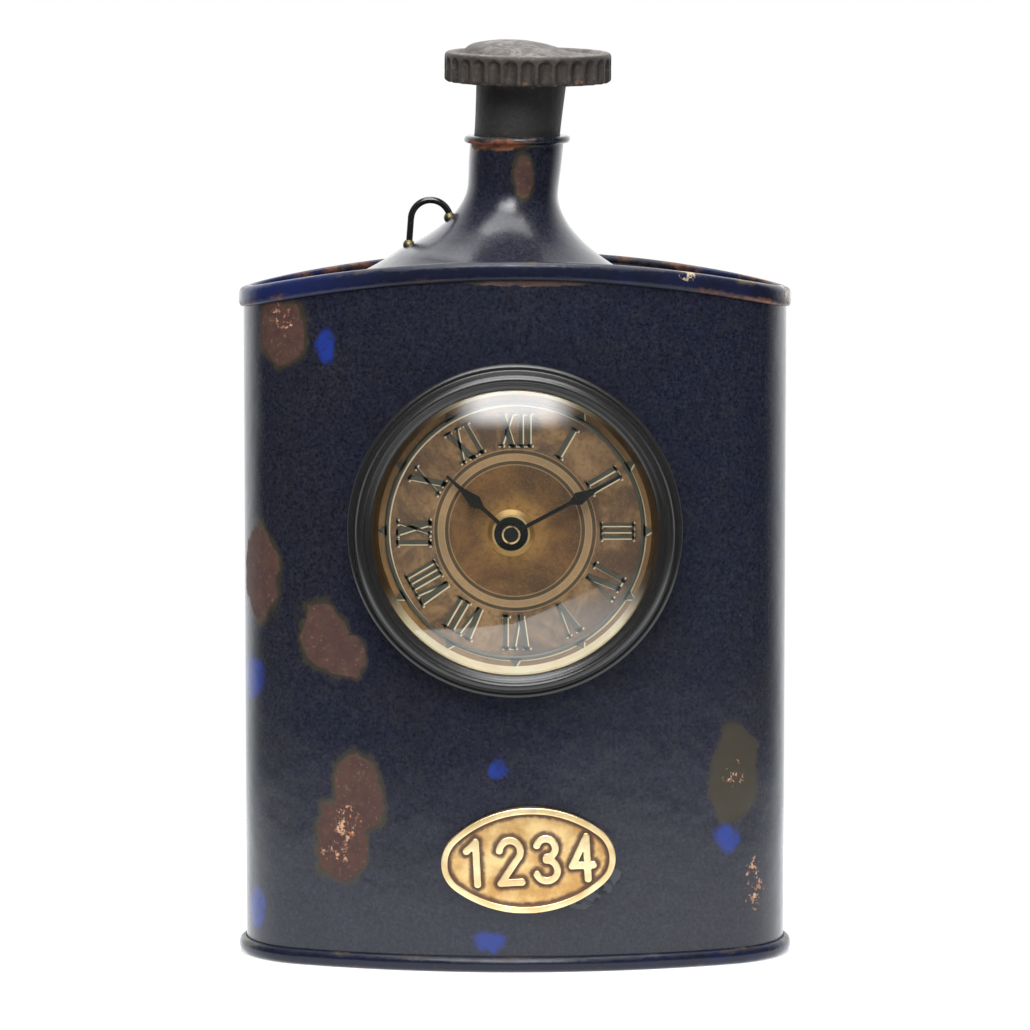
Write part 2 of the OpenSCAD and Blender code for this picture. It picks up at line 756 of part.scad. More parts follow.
module stopper() {
    chamfer = 0.8;
    head_sink = chamfer + (plug_r + plug_flare) * sin(abs(head_tilt_side) + abs(head_tilt_front));
    groove_from = plug_end + seal_up;
    groove_to = groove_from + seal_h + 2 * run_clear;
    groove_r = seal_in_r - run_clear;
    color("#39342f") neck_frame() {
        rotate_extrude() polygon([[0, plug_end], [plug_r - chamfer, plug_end],
            [plug_r, plug_end + chamfer], [plug_r, groove_from], [groove_r, groove_from],
            [groove_r, groove_to], [plug_r, groove_to], [plug_r, neck_h],
            [plug_r + plug_flare, head_z + head_sink], [0, head_z + head_sink]]);
        translate([head_shift, 0, head_z]) rotate([head_tilt_front, head_tilt_side, 0]) difference() {
            stopper_head();
            for (i = [0:flutes - 1]) rotate(i * 360 / flutes)
                translate([head_r + flute_r - flute_depth, 0, -eps])
                    cylinder(r = flute_r, h = 0.78 * head_h);
        }
    }
}

module stopper_head() {
    round = 1;
    dome_in = 1.5;
    moat_r = head_r - head_rim_w;
    moat_z = head_h - head_moat_h;
    dome_steps = 8;
    dome_r = moat_r - dome_in;
    rotate_extrude() polygon([[0, 0], [head_r - 1.6 * round, 0], [head_r, round],
        [head_r, head_h - 1.4 * round], [head_r - 0.5 * round, head_h - 0.4 * round],
        [head_r - 1.6 * round, head_h], [moat_r + round, head_h], [moat_r, moat_z], [0, moat_z]]);
    translate([-head_dome_shift, 0, 0]) rotate_extrude() polygon(concat([[0, round], [dome_r, round]],
        [for (i = [0:dome_steps]) let (s = i / dome_steps)
            [dome_r * (1 - s), moat_z + (head_dome_h + head_moat_h) * (1 - pow(1 - s, 2))]]));
}

// Clock insert

module bezel() {
    ring_r = bezel_r - bezel_step_w;
    peak_r = ring_r - 1.7;
    groove = 0.6;
    mid = (glass_front + bezel_front) / 2;
    color("#18181a") clock_frame() rotate_extrude() polygon([
        [can_r + run_clear, bezel_back], [bezel_r, bezel_back],
        [bezel_r, bezel_back - bezel_flange_t + groove],
        [bezel_r - groove, bezel_back - bezel_flange_t],
        [ring_r + groove, bezel_back - bezel_flange_t],
        [ring_r, bezel_back - bezel_flange_t + groove],
        [ring_r - 0.1, bezel_front + 2.4], [ring_r - 0.6, bezel_front + 0.8],
        [peak_r, bezel_front], [peak_r - 0.7, bezel_front + 0.2],
        [bezel_open_r + 1.7, mid - 0.5], [bezel_open_r + 1.2, mid], [bezel_open_r + 0.5, mid + 0.1],
        [bezel_open_r, mid + 0.6], [bezel_open_r, glass_front], [can_r + run_clear, glass_front]]);
}

module crystal() {
    edge_r = bezel_open_r - 0.1;
    dome_r = (edge_r * edge_r + glass_rise * glass_rise) / (2 * glass_rise);
    centre = glass_front - glass_rise + dome_r;
    color("#dfe8ea", 0.3) clock_frame() difference() {
        union() {
            rod(seat_r, glass_front, glass_back);
            intersection() {
                translate([0, 0, centre]) sphere(r = dome_r, $fn = wide_fn / 3);
                rod(edge_r, glass_front - 2 * glass_rise, glass_back);
            }
        }
        translate([0, 0, centre]) sphere(r = dome_r - glass_t, $fn = wide_fn / 3);
    }
}

module rehaut_ring() {
    front_r = bezel_open_r + 0.15;
    back_r = bezel_open_r - rehaut_slope;
    color("#c8a860") clock_frame() rotate_extrude() polygon([
        [front_r, glass_back], [seat_r, glass_back], [seat_r, dial_d], [back_r, dial_d],
        [back_r, dial_d - 0.4], [(front_r + back_r) / 2 - 0.2, (glass_back + dial_d) / 2]]);
}

module dial() {
    color("#7d6242") clock_frame() difference() {
        union() {
            rod(seat_r, dial_d, dial_back);
            ring(dial_ring_r + dial_ring_w, dial_ring_r, dial_d - dial_ring_h, dial_back);
        }
        translate([arbor_x, -arbor_up, 0]) rod(post_r + run_clear, 0, far);
    }
}

module fixing_nut() {
    bevel = 1.2;
    hole = post_r + run_clear;
    color("#b8924e") arbor_frame() rotate_extrude() polygon([
        [hole, dial_d], [nut_r, dial_d], [nut_r, dial_d - 0.4], [nut_r - bevel, nut_front],
        [hole, nut_front]]);
}

module rubber_washer() {
    color("#222222") arbor_frame() ring(washer_r, post_r + run_clear, dial_back, case_front);
}

module insert_can() {
    opening = move_w + 2 * side_gap;
    color("#3d3833") clock_frame() difference() {
        rod(can_r, glass_front + seam_gap, cover_back);
        rod(can_in_r, glass_front - 1, dial_back);
        rod(can_in_r - ledge_w, 0, ledge_back + eps);
        rod(can_in_r, ledge_back, cover_front);
        translate([arbor_x, -arbor_up, cover_front - eps]) linear_extrude(far)
            square(opening, center = true);
    }
}

module gasket() {
    color("#2b2a28") clock_frame() ring(can_r + gasket_t, can_r + seam_gap, seam_gap, gasket_len);
}

// Hands

// A hand pointing up: a shaft, a lozenge that starts at the belly, and a thin tip
module hand_shape(length, hub_r, belly) {
    widest = 2.4;
    waist = 5;
    neck_end = 7.5;
    side = [[hand_w / 2, 0], [hand_w / 2, belly], [hand_wide / 2, belly + widest],
        [0.3 * hand_wide, belly + waist], [hand_w / 2, belly + neck_end], [hand_w / 3, length]];
    n = len(side);
    polygon(concat([for (p = side) -p], [for (i = [1:n]) [side[n - i].x, -side[n - i].y]]));
    circle(r = hub_r);
}

module hour_hand() {
    color("#111113") arbor_frame() rotate(hour_angle) translate([0, 0, hour_front])
        linear_extrude(hand_t) difference() {
            hand_shape(hour_len, hour_hub_r, hour_len * 0.45);
            circle(r = pipe_r);
        }
}

module minute_hand() {
    color("#111113") arbor_frame() rotate(minute_angle) translate([0, 0, minute_front])
        linear_extrude(hand_t) difference() {
            hand_shape(minute_len, minute_hub_r, minute_len * 0.535);
            circle(r = arbor_r);
        }
}

module cap_nut() {
    lip = 0.45;
    recess = 0.4;
    color("#141414") arbor_frame() difference() {
        rod(cap_r, cap_front, minute_front);
        rod(cap_r - lip, cap_front - 1, cap_front + recess);
        rod(arbor_r, cap_front + 2 * recess, far);
    }
}

// Wheels

module gear(z, m, phase, from, thick = wheel_t) {
    pitch_r = m * z / 2;
    half = 90 / z * tooth_fill;
    flank = [[-dedendum, -half * tooth_root], [0, -half], [addendum, -half * tooth_tip],
        [addendum, half * tooth_tip], [0, half], [-dedendum, half * tooth_root]];
    translate([0, 0, from]) rotate(phase) linear_extrude(thick)
        polygon([for (i = [0:z - 1], f = flank) polar(pitch_r + f[0] * m, 360 / z * i + f[1])]);
}

module hour_wheel() {
    color("#c9a45c") arbor_frame() difference() {
        union() {
            gear(hour_z, idler_m, hour_phase, hour_layer);
            rod(pipe_r, hour_front - 0.1, hour_layer + wheel_t);
        }
        rod(pipe_in_r, hour_front - 1, far);
    }
}

module centre_wheel() {
    color("#d2ad62") arbor_frame() {
        rod(arbor_r, cap_front + 1, cannon_layer);
        gear(cannon_z, motion_m, 0, cannon_layer, wheel_t + layer_gap);
        gear(centre_z, train_m, 0, centre_layer);
        rod(pivot_r, centre_layer, plate_back - run_clear);
    }
}

module minute_wheel() {
    color("#e6e2d4") arbor_frame() translate(idler_at) difference() {
        union() {
            gear(idler_z, idler_m, 0, hour_layer, wheel_t + layer_gap);
            gear(minute_z, motion_m, idler_phase, cannon_layer);
        }
        rod(pivot_r + run_clear, 0, far);
    }
}

module third_wheel() {
    color("#e6e2d4") arbor_frame() translate(third_at) {
        rod(pivot_r, case_front + case_t / 2 + run_clear, plate_back - run_clear);
        gear(pinion_z, train_m, third_phase, centre_layer, wheel_t + layer_gap);
        gear(third_z, train_m, 0, third_layer);
    }
}

module rotor_pinion() {
    color("#e6e2d4") arbor_frame() translate(rotor_at) {
        rod(pivot_r, cannon_layer + run_clear, plate_back - run_clear);
        gear(pinion_z, train_m, rotor_phase, third_layer, wheel_t + layer_gap);
    }
}

module rotor_magnet() {
    color("#3a3a3e") arbor_frame() translate(rotor_at)
        ring(magnet_r, pivot_r, magnet_front, magnet_back);
}

module setting_knob() {
    grip_r = 1;
    grips = 12;
    knob_front = cover_back + side_gap;
    knob_back = knob_front + knob_h;
    color("#202020") arbor_frame() translate(setting_at) {
        rod(pivot_r, case_front + case_t / 2 + run_clear, cannon_layer);
        gear(setting_z, motion_m, setting_phase, cannon_layer);
        rod(stem_r, cannon_layer + wheel_t, knob_front);
        difference() {
            rod(knob_r, knob_front, knob_back);
            for (i = [0:grips - 1]) rotate(i * 360 / grips) translate([knob_r + grip_r / 2, 0, 0])
                rod(grip_r, knob_front - 1, knob_back + 1);
        }
    }
}

// Movement

module case_plan(inset) {
    r = move_corner_r - inset;
    c = move_w / 2 - move_corner_r;
    square([2 * c, move_w - 2 * inset], center = true);
    square([move_w - 2 * inset, 2 * c], center = true);
    for (x = [-c, c], y = [-c, c]) translate([x, y]) circle(r = r);
}

module movement_case() {
    blind = case_front + case_t / 2;
    color("#1c1c1e") arbor_frame() difference() {
        union() {
            difference() {
                translate([0, 0, case_front]) linear_extrude(cover_front - case_front) case_plan(0);
                translate([0, 0, case_floor]) linear_extrude(far) case_plan(case_t);
            }
            rod(post_r, nut_front + 0.2, case_floor);
            translate([-room - eps, rib_y - rib_t, case_floor - eps])
                cube([2 * (room + eps), rib_t, cover_front - case_floor + eps]);
            translate(idler_at) rod(pivot_r, case_floor - eps, cannon_layer + wheel_t + layer_gap / 2);
            translate(rotor_at) rod(stud_r, case_floor - eps, third_layer - layer_gap / 2);
            for (p = studs) translate(p) rod(stud_r, case_floor - eps, plate_front);
            for (s = [-1, 1]) translate([coil_x + s * (arm_x + arm_w / 2), coil_y])
                rod(0.4 * arm_w, case_floor - eps, stator_front);
            for (p = board_studs) translate(p) rod(stud_r, case_floor - eps, board_front);
        }
        rod(post_in_r, -far, case_floor + 1);
        translate(third_at) rod(pivot_r + run_clear, blind, far);
        translate(setting_at) rod(pivot_r + run_clear, blind, far);
        translate(rotor_at) rod(pivot_r + run_clear, cannon_layer, far);
        for (p = studs) translate(p) rod(screw_r, plate_front - screw_len - side_gap, far);
    }
}

module rear_cover() {
    color("#1c1c1e") arbor_frame() difference() {
        translate([0, 0, cover_front]) linear_extrude(case_t) case_plan(0);
        translate([-battery_len / 2 - side_gap, battery_y - battery_d / 2 - side_gap / 2,
            cover_front - eps])
            cube([battery_len + 2 * side_gap, battery_d + side_gap, case_t + 2 * eps]);
        translate(setting_at) rod(stem_r + run_clear, cover_front - eps, far);
    }
}

module train_plate() {
    margin = 1.7;
    left = studs[2].x - margin;
    right = studs[1].x + margin + side_gap;
    high = stator_high + side_gap;
    low = rib_y - rib_t - side_gap;
    color("#c4b38a") arbor_frame() difference() {
        translate([left, high, plate_front]) cube([right - left, low - high, train_plate_t]);
        for (p = [[0, 0], third_at, rotor_at])
            translate(p) rod(pivot_r + run_clear, plate_front - eps, far);
        for (p = studs) translate(p) rod(screw_r + run_clear, plate_front - eps, far);
    }
}

module train_screws() {
    head_r = 1.4;
    head_h = 0.9;
    color("#9a9a9e") arbor_frame() for (p = studs) translate(p) {
        rod(screw_r, plate_back - screw_len - train_plate_t, plate_back);
        rod(head_r, plate_back, plate_back + head_h);
    }
}

module stator() {
    left = coil_x - arm_x - arm_w;
    width = 2 * (arm_x + arm_w);
    color("#8f949b") arbor_frame() translate([0, 0, stator_front]) linear_extrude(stator_t)
        difference() {
            union() {
                translate([left, stator_high]) square([width, stator_low - stator_high]);
                translate([left, coil_y - core_w / 2]) square([width, core_w]);
                for (x = [left, left + width - arm_w])
                    translate([x, coil_y - core_w / 2]) square([arm_w, stator_low - coil_y]);
            }
            translate(rotor_at) circle(r = stator_hole_r);
        }
}

module along_coil() {
    arbor_frame() translate([coil_x, coil_y, stator_front + stator_t / 2]) rotate([0, 90, 0])
        children();
}

module coil_bobbin() {
    color("#d8d4c8") along_coil() difference() {
        union() {
            rod(bobbin_r, -coil_len / 2, coil_len / 2);
            rod(flange_r, -coil_len / 2, -coil_len / 2 + bobbin_end_t);
            rod(flange_r, coil_len / 2 - bobbin_end_t, coil_len / 2);
        }
        cube([stator_t, core_w, coil_len + 1], center = true);
    }
}

module coil_winding() {
    color("#a8552a") along_coil()
        ring(coil_r, bobbin_r, -coil_len / 2 + bobbin_end_t, coil_len / 2 - bobbin_end_t);
}

module circuit_board() {
    chip_r = 2.2;
    chip_h = 0.8;
    chip_up = 12;
    color("#2f5a38") arbor_frame() {
        translate([board_x, board_y[0], board_front])
            cube([board_w, board_y[1] - board_y[0], board_t]);
        translate([board_mid, board_y[0] + chip_up])
            rod(chip_r, plate_front - eps, plate_front + chip_h);
    }
}

module quartz_can() {
    quartz_r = 1;
    quartz_len = 6;
    quartz_down = 12;
    color("#b9bcc0") arbor_frame()
        translate([board_mid, board_y[1] - quartz_down, plate_front + quartz_r])
            rotate([90, 0, 0]) rod(quartz_r, -quartz_len / 2, quartz_len / 2);
}

// A contact: a strip on the end wall, and what touches the battery
module contact(side, tip_r) {
    strip_w = 10;
    gap = 0.1;
    tip_end = battery_len / 2 + gap;
    arbor_frame() translate([0, battery_y, battery_axis_d]) rotate([0, side * 90, 0]) {
        translate([-strip_w / 2, -strip_w / 2, room - contact_t]) cube([strip_w, strip_w, contact_t]);
        rod(tip_r, tip_end, room - contact_t);
    }
}

module contact_positive() {
    color("#c9ccd0") contact(1, 2);
}

module contact_negative() {
    color("#c9ccd0") contact(-1, 3.2);
}

module battery() {
    nub_r = 2.6;
    nub_h = 1;
    color("#7a7d82") arbor_frame() translate([0, battery_y, battery_axis_d]) rotate([0, 90, 0]) {
        rod(battery_d / 2, -battery_len / 2, battery_len / 2 - nub_h);
        rod(nub_r, 0, battery_len / 2);
    }
}

body_shell();
shoulder();
neck();
top_rim();
base_plate();
base_rim();
wire_loop();
loop_solder();
number_plate();
plate_adhesive();
seal_ring();
stopper();
bezel();
crystal();
rehaut_ring();
dial();
fixing_nut();
rubber_washer();
insert_can();
gasket();
hour_hand();
minute_hand();
cap_nut();
hour_wheel();
centre_wheel();
minute_wheel();
third_wheel();
rotor_pinion();
rotor_magnet();
setting_knob();
movement_case();
rear_cover();
train_plate();
train_screws();
stator();
coil_bobbin();
coil_winding();
circuit_board();
quartz_can();
contact_positive();
contact_negative();
battery();
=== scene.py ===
"""The looks of an oval enamelled flask with a quartz clock in its front.

Units are metres. +Z is up, the dial faces -Y, and the origin is the middle of the foot.
"""
import math

import bpy
from mathutils import Matrix, Vector, kdtree, noise


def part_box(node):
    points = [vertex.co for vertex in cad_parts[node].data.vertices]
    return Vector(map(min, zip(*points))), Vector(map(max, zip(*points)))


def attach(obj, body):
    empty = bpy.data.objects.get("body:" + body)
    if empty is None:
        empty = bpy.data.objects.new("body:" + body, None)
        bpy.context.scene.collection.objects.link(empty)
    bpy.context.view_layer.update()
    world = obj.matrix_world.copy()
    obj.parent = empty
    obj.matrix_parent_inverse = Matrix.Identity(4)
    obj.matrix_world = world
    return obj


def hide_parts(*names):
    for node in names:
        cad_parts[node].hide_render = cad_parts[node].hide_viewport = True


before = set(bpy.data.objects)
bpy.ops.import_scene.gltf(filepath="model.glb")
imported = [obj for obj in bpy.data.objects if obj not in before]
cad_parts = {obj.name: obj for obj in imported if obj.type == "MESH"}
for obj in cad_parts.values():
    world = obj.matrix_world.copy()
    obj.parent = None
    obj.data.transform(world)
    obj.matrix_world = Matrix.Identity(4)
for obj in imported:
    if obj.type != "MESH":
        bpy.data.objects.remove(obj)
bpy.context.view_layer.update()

bl_info = {
    "name": "Flask Clock Looks",
    "version": (1, 0, 0),
    "blender": (4, 5, 0),
    "location": "View3D > Sidebar > Flask Clock",
    "description": "Dresses the packed parts of a flask clock and sets its stage",
    "category": "Object",
}

MM = 0.001
WALL_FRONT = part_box("body_shell")[0].y
RIM_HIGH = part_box("top_rim")[1]
FOOT_LOW, FOOT_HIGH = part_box("base_rim")
BEZEL_LOW, BEZEL_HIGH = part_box("bezel")
CLOCK = (BEZEL_LOW + BEZEL_HIGH) / 2
CLOCK_FACE = Vector((CLOCK.x, WALL_FRONT, CLOCK.z))
DIAL_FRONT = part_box("dial")[0].y
PLATE_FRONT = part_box("number_plate")[0].y


# Settings


def length_setting(label, text, value):
    return bpy.props.FloatProperty(name=label, description=text, default=value, unit="LENGTH")


def angle_setting(label, text, degrees):
    return bpy.props.FloatProperty(
        name=label, description=text, default=math.radians(degrees), subtype="ANGLE")


def colour_setting(label, text, value):
    return bpy.props.FloatVectorProperty(
        name=label, description=text, default=value, subtype="COLOR", size=3)


def place_setting(label, text, value):
    return bpy.props.FloatVectorProperty(
        name=label, description=text, default=value, subtype="TRANSLATION", unit="LENGTH", size=3)


class FlaskSettings(bpy.types.PropertyGroup):
    """Sizes and colours of the tin flask"""

    half_width: length_setting("Half width", "Half the width of the tin wall", 72 * MM)
    half_depth: length_setting("Half depth", "Half the depth of the tin wall", 34 * MM)
    end_radius: length_setting("End radius", "Radius of the oval's narrow ends", 24 * MM)
    neck_foot: place_setting(
        "Neck foot", "Middle of the neck's flared foot", (-2 * MM, 0, 185.6 * MM))
    neck_foot_radius: length_setting("Neck foot radius", "Radius of the flare's foot", 28.5 * MM)
    neck_radius: length_setting("Neck radius", "Outer radius of the neck", 12.4 * MM)
    flare_height: length_setting("Flare height", "Height of the neck's flare", 18.4 * MM)
    neck_height: length_setting("Neck height", "Height of the lip over the neck's foot", 33.4 * MM)
    lean_side: angle_setting("Lean to the right", "The neck's lean to the right", 4.5)
    lean_front: angle_setting("Lean to the front", "The neck's lean to the front", 2)
    rim_drop: length_setting("Rim drop", "How much lower the upper rim is at its ends", 8 * MM)
    navy: colour_setting("Navy", "The enamel's own colour", (0.011, 0.013, 0.027))
    cobalt: colour_setting("Cobalt", "Where the enamel is thin and blue", (0.012, 0.035, 0.24))
    rust: colour_setting("Rust", "Bare tin that has rusted", (0.069, 0.03, 0.02))
    olive: colour_setting("Olive", "The halo round a rusted patch", (0.045, 0.036, 0.018))
    chip: colour_setting("Chip", "A fresh chip in the enamel", (0.56, 0.33, 0.2))


class StopperSettings(bpy.types.PropertyGroup):
    """Sizes of the stopper"""

    plug_radius: length_setting("Plug radius", "Radius of the plug in the neck", 11.3 * MM)
    plug_end: length_setting(
        "Plug end", "Height of the plug's end over the neck's foot", 18.4 * MM)
    head_foot: length_setting(
        "Head foot", "Height of the head's underside over the neck's foot", 46.7 * MM)
    head_shift: length_setting(
        "Head shift", "How far the head sits to the right of the plug", 1.7 * MM)
    head_radius: length_setting("Head radius", "Radius of the head over its ridges", 22 * MM)
    tilt_side: angle_setting(
        "Tilt to the right", "The head's turn to the right against the plug", -3.9)
    tilt_front: angle_setting(
        "Tilt to the front", "The head's turn to the front against the plug", 1.5)
    flutes: bpy.props.IntProperty(
        name="Flutes", description="Flutes round the head", default=30, min=3)
    flute_depth: length_setting("Flute depth", "Depth of a flute", 1.3 * MM)
    dome_shift: length_setting(
        "Dome shift", "How far the dome sits left of the head's middle", 5 * MM)
    dome_height: length_setting("Dome height", "Height of the dome over the moat", 4.2 * MM)


class ClockSettings(bpy.types.PropertyGroup):
    """Sizes and colours of the clock in the flask's front"""

    glass_rise: length_setting("Glass rise", "Height of the glass's dome", 4.5 * MM)
    glass_thick: length_setting("Glass thickness", "Thickness of the glass", 1.1 * MM)
    glass_edge: length_setting("Glass edge", "Radius where the dome starts", 36.9 * MM)
    numeral_foot: length_setting("Numeral foot", "Radius at the numerals' feet", 22 * MM)
    numeral_top: length_setting("Numeral top", "Radius at the numerals' tops", 30.9 * MM)
    track_radius: length_setting("Track radius", "Radius of the thin outer circle", 33.3 * MM)
    bronze: colour_setting("Bronze", "The dial's own colour", (0.36, 0.215, 0.105))
    ink: colour_setting("Ink", "The dial's two dark circles", (0.028, 0.028, 0.024))


class StageSettings(bpy.types.PropertyGroup):
    """The camera and the light"""

    camera_place: place_setting("Camera place", "Where the camera stands", (0, -1.301, 0.239))
    camera_aim: place_setting(
        "Camera aim", "The point that the camera looks at", (0, 0, 0.117))
    lens: bpy.props.FloatProperty(
        name="Lens", description="Focal length on a 36 mm frame", default=171.4, min=1)
    ambient: bpy.props.FloatProperty(
        name="Ambient", description="Strength of the room's even light", default=0.4, min=0)
    overhead: bpy.props.FloatProperty(
        name="Overhead", description="Power of the soft box above", default=9, min=0, unit="POWER")
    front: bpy.props.FloatProperty(
        name="Front", description="Power of the soft box in front", default=8, min=0, unit="POWER")


# Shaders


class Wire:
    """A shader value: a socket, or a plain number, that takes arithmetic."""

    def __init__(self, paint, source):
        self.paint = paint
        self.source = source

    def maths(self, operation, *others):
        return self.paint.node("ShaderNodeMath", {"operation": operation}, (self, *others))

    def __add__(self, other):
        return self.maths("ADD", other)

    __radd__ = __add__

    def __sub__(self, other):
        return self.maths("SUBTRACT", other)

    def __rsub__(self, other):
        return Wire(self.paint, other).maths("SUBTRACT", self)

    def __mul__(self, other):
        return self.maths("MULTIPLY", other)

    __rmul__ = __mul__

    def __truediv__(self, other):
        return self.maths("DIVIDE", other)

    def __abs__(self):
        return self.maths("ABSOLUTE")

    def above(self, low, high):
        """0 up to low, 1 from high, and smooth between them."""
        return self.paint.node(
            "ShaderNodeMapRange", {"interpolation_type": "SMOOTHSTEP"}, (self, low, high))

    def below(self, low, high):
        """1 up to low, 0 from high, and smooth between them."""
        return 1 - self.above(low, high)


class Paint:
    """The nodes of one material or world, and a short way to add to them."""

    def __init__(self, owner, place="Object", output="ShaderNodeOutputMaterial"):
        self.owner = owner
        self.output = output
        owner.use_nodes = True
        self.tree = owner.node_tree
        self.tree.nodes.clear()
        self.place = self.node("ShaderNodeTexCoord", None, (), place)

    def node(self, kind, settings=None, values=(), output=0):
        """Adds a node. Values are for its first sockets, or a dict by socket name or number."""
        node = self.tree.nodes.new(kind)
        for key, value in (settings or {}).items():
            setattr(node, key, value)
        pairs = values.items() if isinstance(values, dict) else enumerate(values)
        for key, value in pairs:
            source = value.source if isinstance(value, Wire) else value
            if isinstance(source, bpy.types.NodeSocket):
                self.tree.links.new(source, node.inputs[key])
            else:
                node.inputs[key].default_value = source
        return Wire(self, node.outputs[output])

    def vector(self, operation, *values):
        output = 1 if operation == "LENGTH" else 0
        return self.node("ShaderNodeVectorMath", {"operation": operation}, values, output)

    def flat(self, centre):
        """The way from a centre to the place, seen from the front."""
        away = self.vector("SUBTRACT", self.place, tuple(centre))
        return self.vector("MULTIPLY", away, (1, 0, 1))

    def axes(self, point=None):
        """The three numbers of a point."""
        split = self.node("ShaderNodeSeparateXYZ", None, [point or self.place]).source.node
        return [Wire(self, out) for out in split.outputs]

    def attribute(self, name):
        return self.node("ShaderNodeAttribute", {"attribute_name": name}, (), "Fac")

    def ray(self, kind):
        """1 for a camera or a glossy ray, 0 for the others."""
        return self.node("ShaderNodeLightPath", None, (), f"Is {kind} Ray")

    def noise(self, scale, detail, rough, twist=0.0, output=0):
        """Cloudy noise from 0 to 1; scale counts its lumps in a metre."""
        return self.node("ShaderNodeTexNoise", None, {
            "Vector": self.place, "Scale": scale, "Detail": detail, "Roughness": rough,
            "Distortion": twist}, output)

    def cells(self, scale):
        """Distance to the nearest point of a scatter."""
        return self.node("ShaderNodeTexVoronoi", None, {"Vector": self.place, "Scale": scale})

    def mix(self, share, first, second):
        """The colour between first and second."""
        ends = [end if isinstance(end, Wire) else (*end, 1) for end in (first, second)]
        return self.node(
            "ShaderNodeMix", {"data_type": "RGBA"}, {0: share, 6: ends[0], 7: ends[1]}, 2)

    def layers(self, colour, *coats):
        """A colour under coats, each given as its share and its colour."""
        for share, coat in coats:
            colour = self.mix(share, colour, coat)
        return colour

    def shader(self, kind, **sockets):
        """Adds a shader. Socket names have _ for a space."""
        values = {key.replace("_", " "): value for key, value in sockets.items()}
        return self.node(f"ShaderNode{kind}", None, values)

    def surface(self, relief, depth, **sockets):
        """One Principled shader, with a relief from 0 to 1 that is so many mm deep."""
        sockets["Normal"] = self.shader("Bump", Height=relief, Strength=1.0, Distance=depth * MM)
        return self.finish(self.shader("BsdfPrincipled", **sockets))

    def blend(self, share, first, second):
        """The shader between first and second."""
        return self.node("ShaderNodeMixShader", None, [share, first, second])

    def finish(self, shader):
        """Leads a shader to the output, and gives back the material or world."""
        output = self.tree.nodes.new(self.output)
        self.tree.links.new(shader.source, output.inputs["Surface"])
        return self.owner

    def patch(self, centre, radii, point):
        """How far inside an oval blob in mm a point lies: 1 at its middle, 0 on its edge."""
        away = self.vector("SUBTRACT", point, tuple(c * MM for c in centre))
        scaled = self.vector("DIVIDE", away, tuple(r * MM for r in radii))
        return 1 - self.vector("LENGTH", scaled)

    def patches(self, blobs, point):
        """The same for several blobs at once."""
        total, *others = [self.patch(centre, radii, point) for centre, radii in blobs]
        for other in others:
            total = total.maths("MAXIMUM", other)
        return total

    def ragged(self, amount, scale):
        """The place, shifted by noise of that size in mm, so that edges come out ragged."""
        centred = self.vector("SUBTRACT", self.noise(scale, 4, 0.6, output=1), (0.5, 0.5, 0.5))
        shift = self.vector("MULTIPLY", centred, (2 * amount * MM,) * 3)
        return self.vector("ADD", self.place, shift)

    def blots(self, blobs, amount, scale):
        """Blobs with ragged edges, as a mask."""
        return self.patches(blobs, self.ragged(amount, scale)).above(0, 0.3)


def new_paint(name):
    return Paint(bpy.data.materials.new(name))


# Places of the enamel's damage, in mm: centre, then reach along each axis
RUSTED = [
    ((-61.4, -19.9, 167), (8, 7, 9)),
    ((-67.9, -13.4, 103), (8, 9, 12.5)),
    ((-50.5, -25.2, 88), (7, 7, 9)),
    ((-44.5, -26.5, 82), (6, 7, 6)),
    ((-41, -28.2, 46), (7, 8, 11)),
    ((-46, -26.6, 34), (7, 8, 11)),
    ((-69, 10, 163), (5, 8, 13)),
    ((30, 32, 132), (11, 6, 9)),
    ((-14, 34, 60), (9, 7, 13)),
    ((62, 18, 96), (7, 9, 11)),
]
STAINED = [
    ((58, -22, 50.6), (7, 8, 12)),
    ((44, 28, 34), (9, 8, 7)),
]
CHIPPED = [
    ((58, -22.5, 50.6), (3.4, 4, 3.8)),
    ((63.3, -18.5, 20.7), (3, 4, 8)),
    ((-61.4, -21, 170.5), (3, 5, 5)),
    ((-69, 9, 160), (4, 5, 11)),
    ((-44, -27, 39), (4, 4, 6)),
    ((-47, -26, 31), (4, 4, 4)),
]
BLUE_SPOTS = [
    ((-4.5, -34, 53.6), (3.4, 4, 3.4)),
    ((-7, -34, 8.1), (5, 4, 4)),
    ((55.8, -23, 34), (4.5, 5, 5)),
    ((-49.6, -25.2, 163.7), (3.4, 4, 6)),
    ((-69.9, -9.8, 75), (7, 8, 7)),
    ((-68.7, -12.2, 13), (4.6, 5.5, 7)),
    ((12, 34, 104), (5, 5, 6)),
]
LIP_RUST = [((-3, -13, 215.7), (7, 5, 1.5)), ((-10, -9, 215.4), (4, 5, 1.4))]
SMALL_RUST = [((2.2, -12.5, 207.3), (2.6, 5, 6)), ((5, -34, 180.4), (15, 4, 0.8))]
LIP_WORN = [((-1, -14, 218.2), (11, 7, 2.4))]
GLUE = [
    ((17, -33, 17.6), (3, 4, 1.2)), ((20.5, -33, 19.6), (2.6, 4, 1.5)),
    ((23.6, -33, 21.8), (2.4, 4, 1.8)), ((26.3, -32.5, 24.8), (1.8, 4, 2.4))]
RIM_CHIPS = [((44.6, -27, 182.5), (2.6, 4, 2.2)), ((71, -6, 177), (3, 6, 4))]


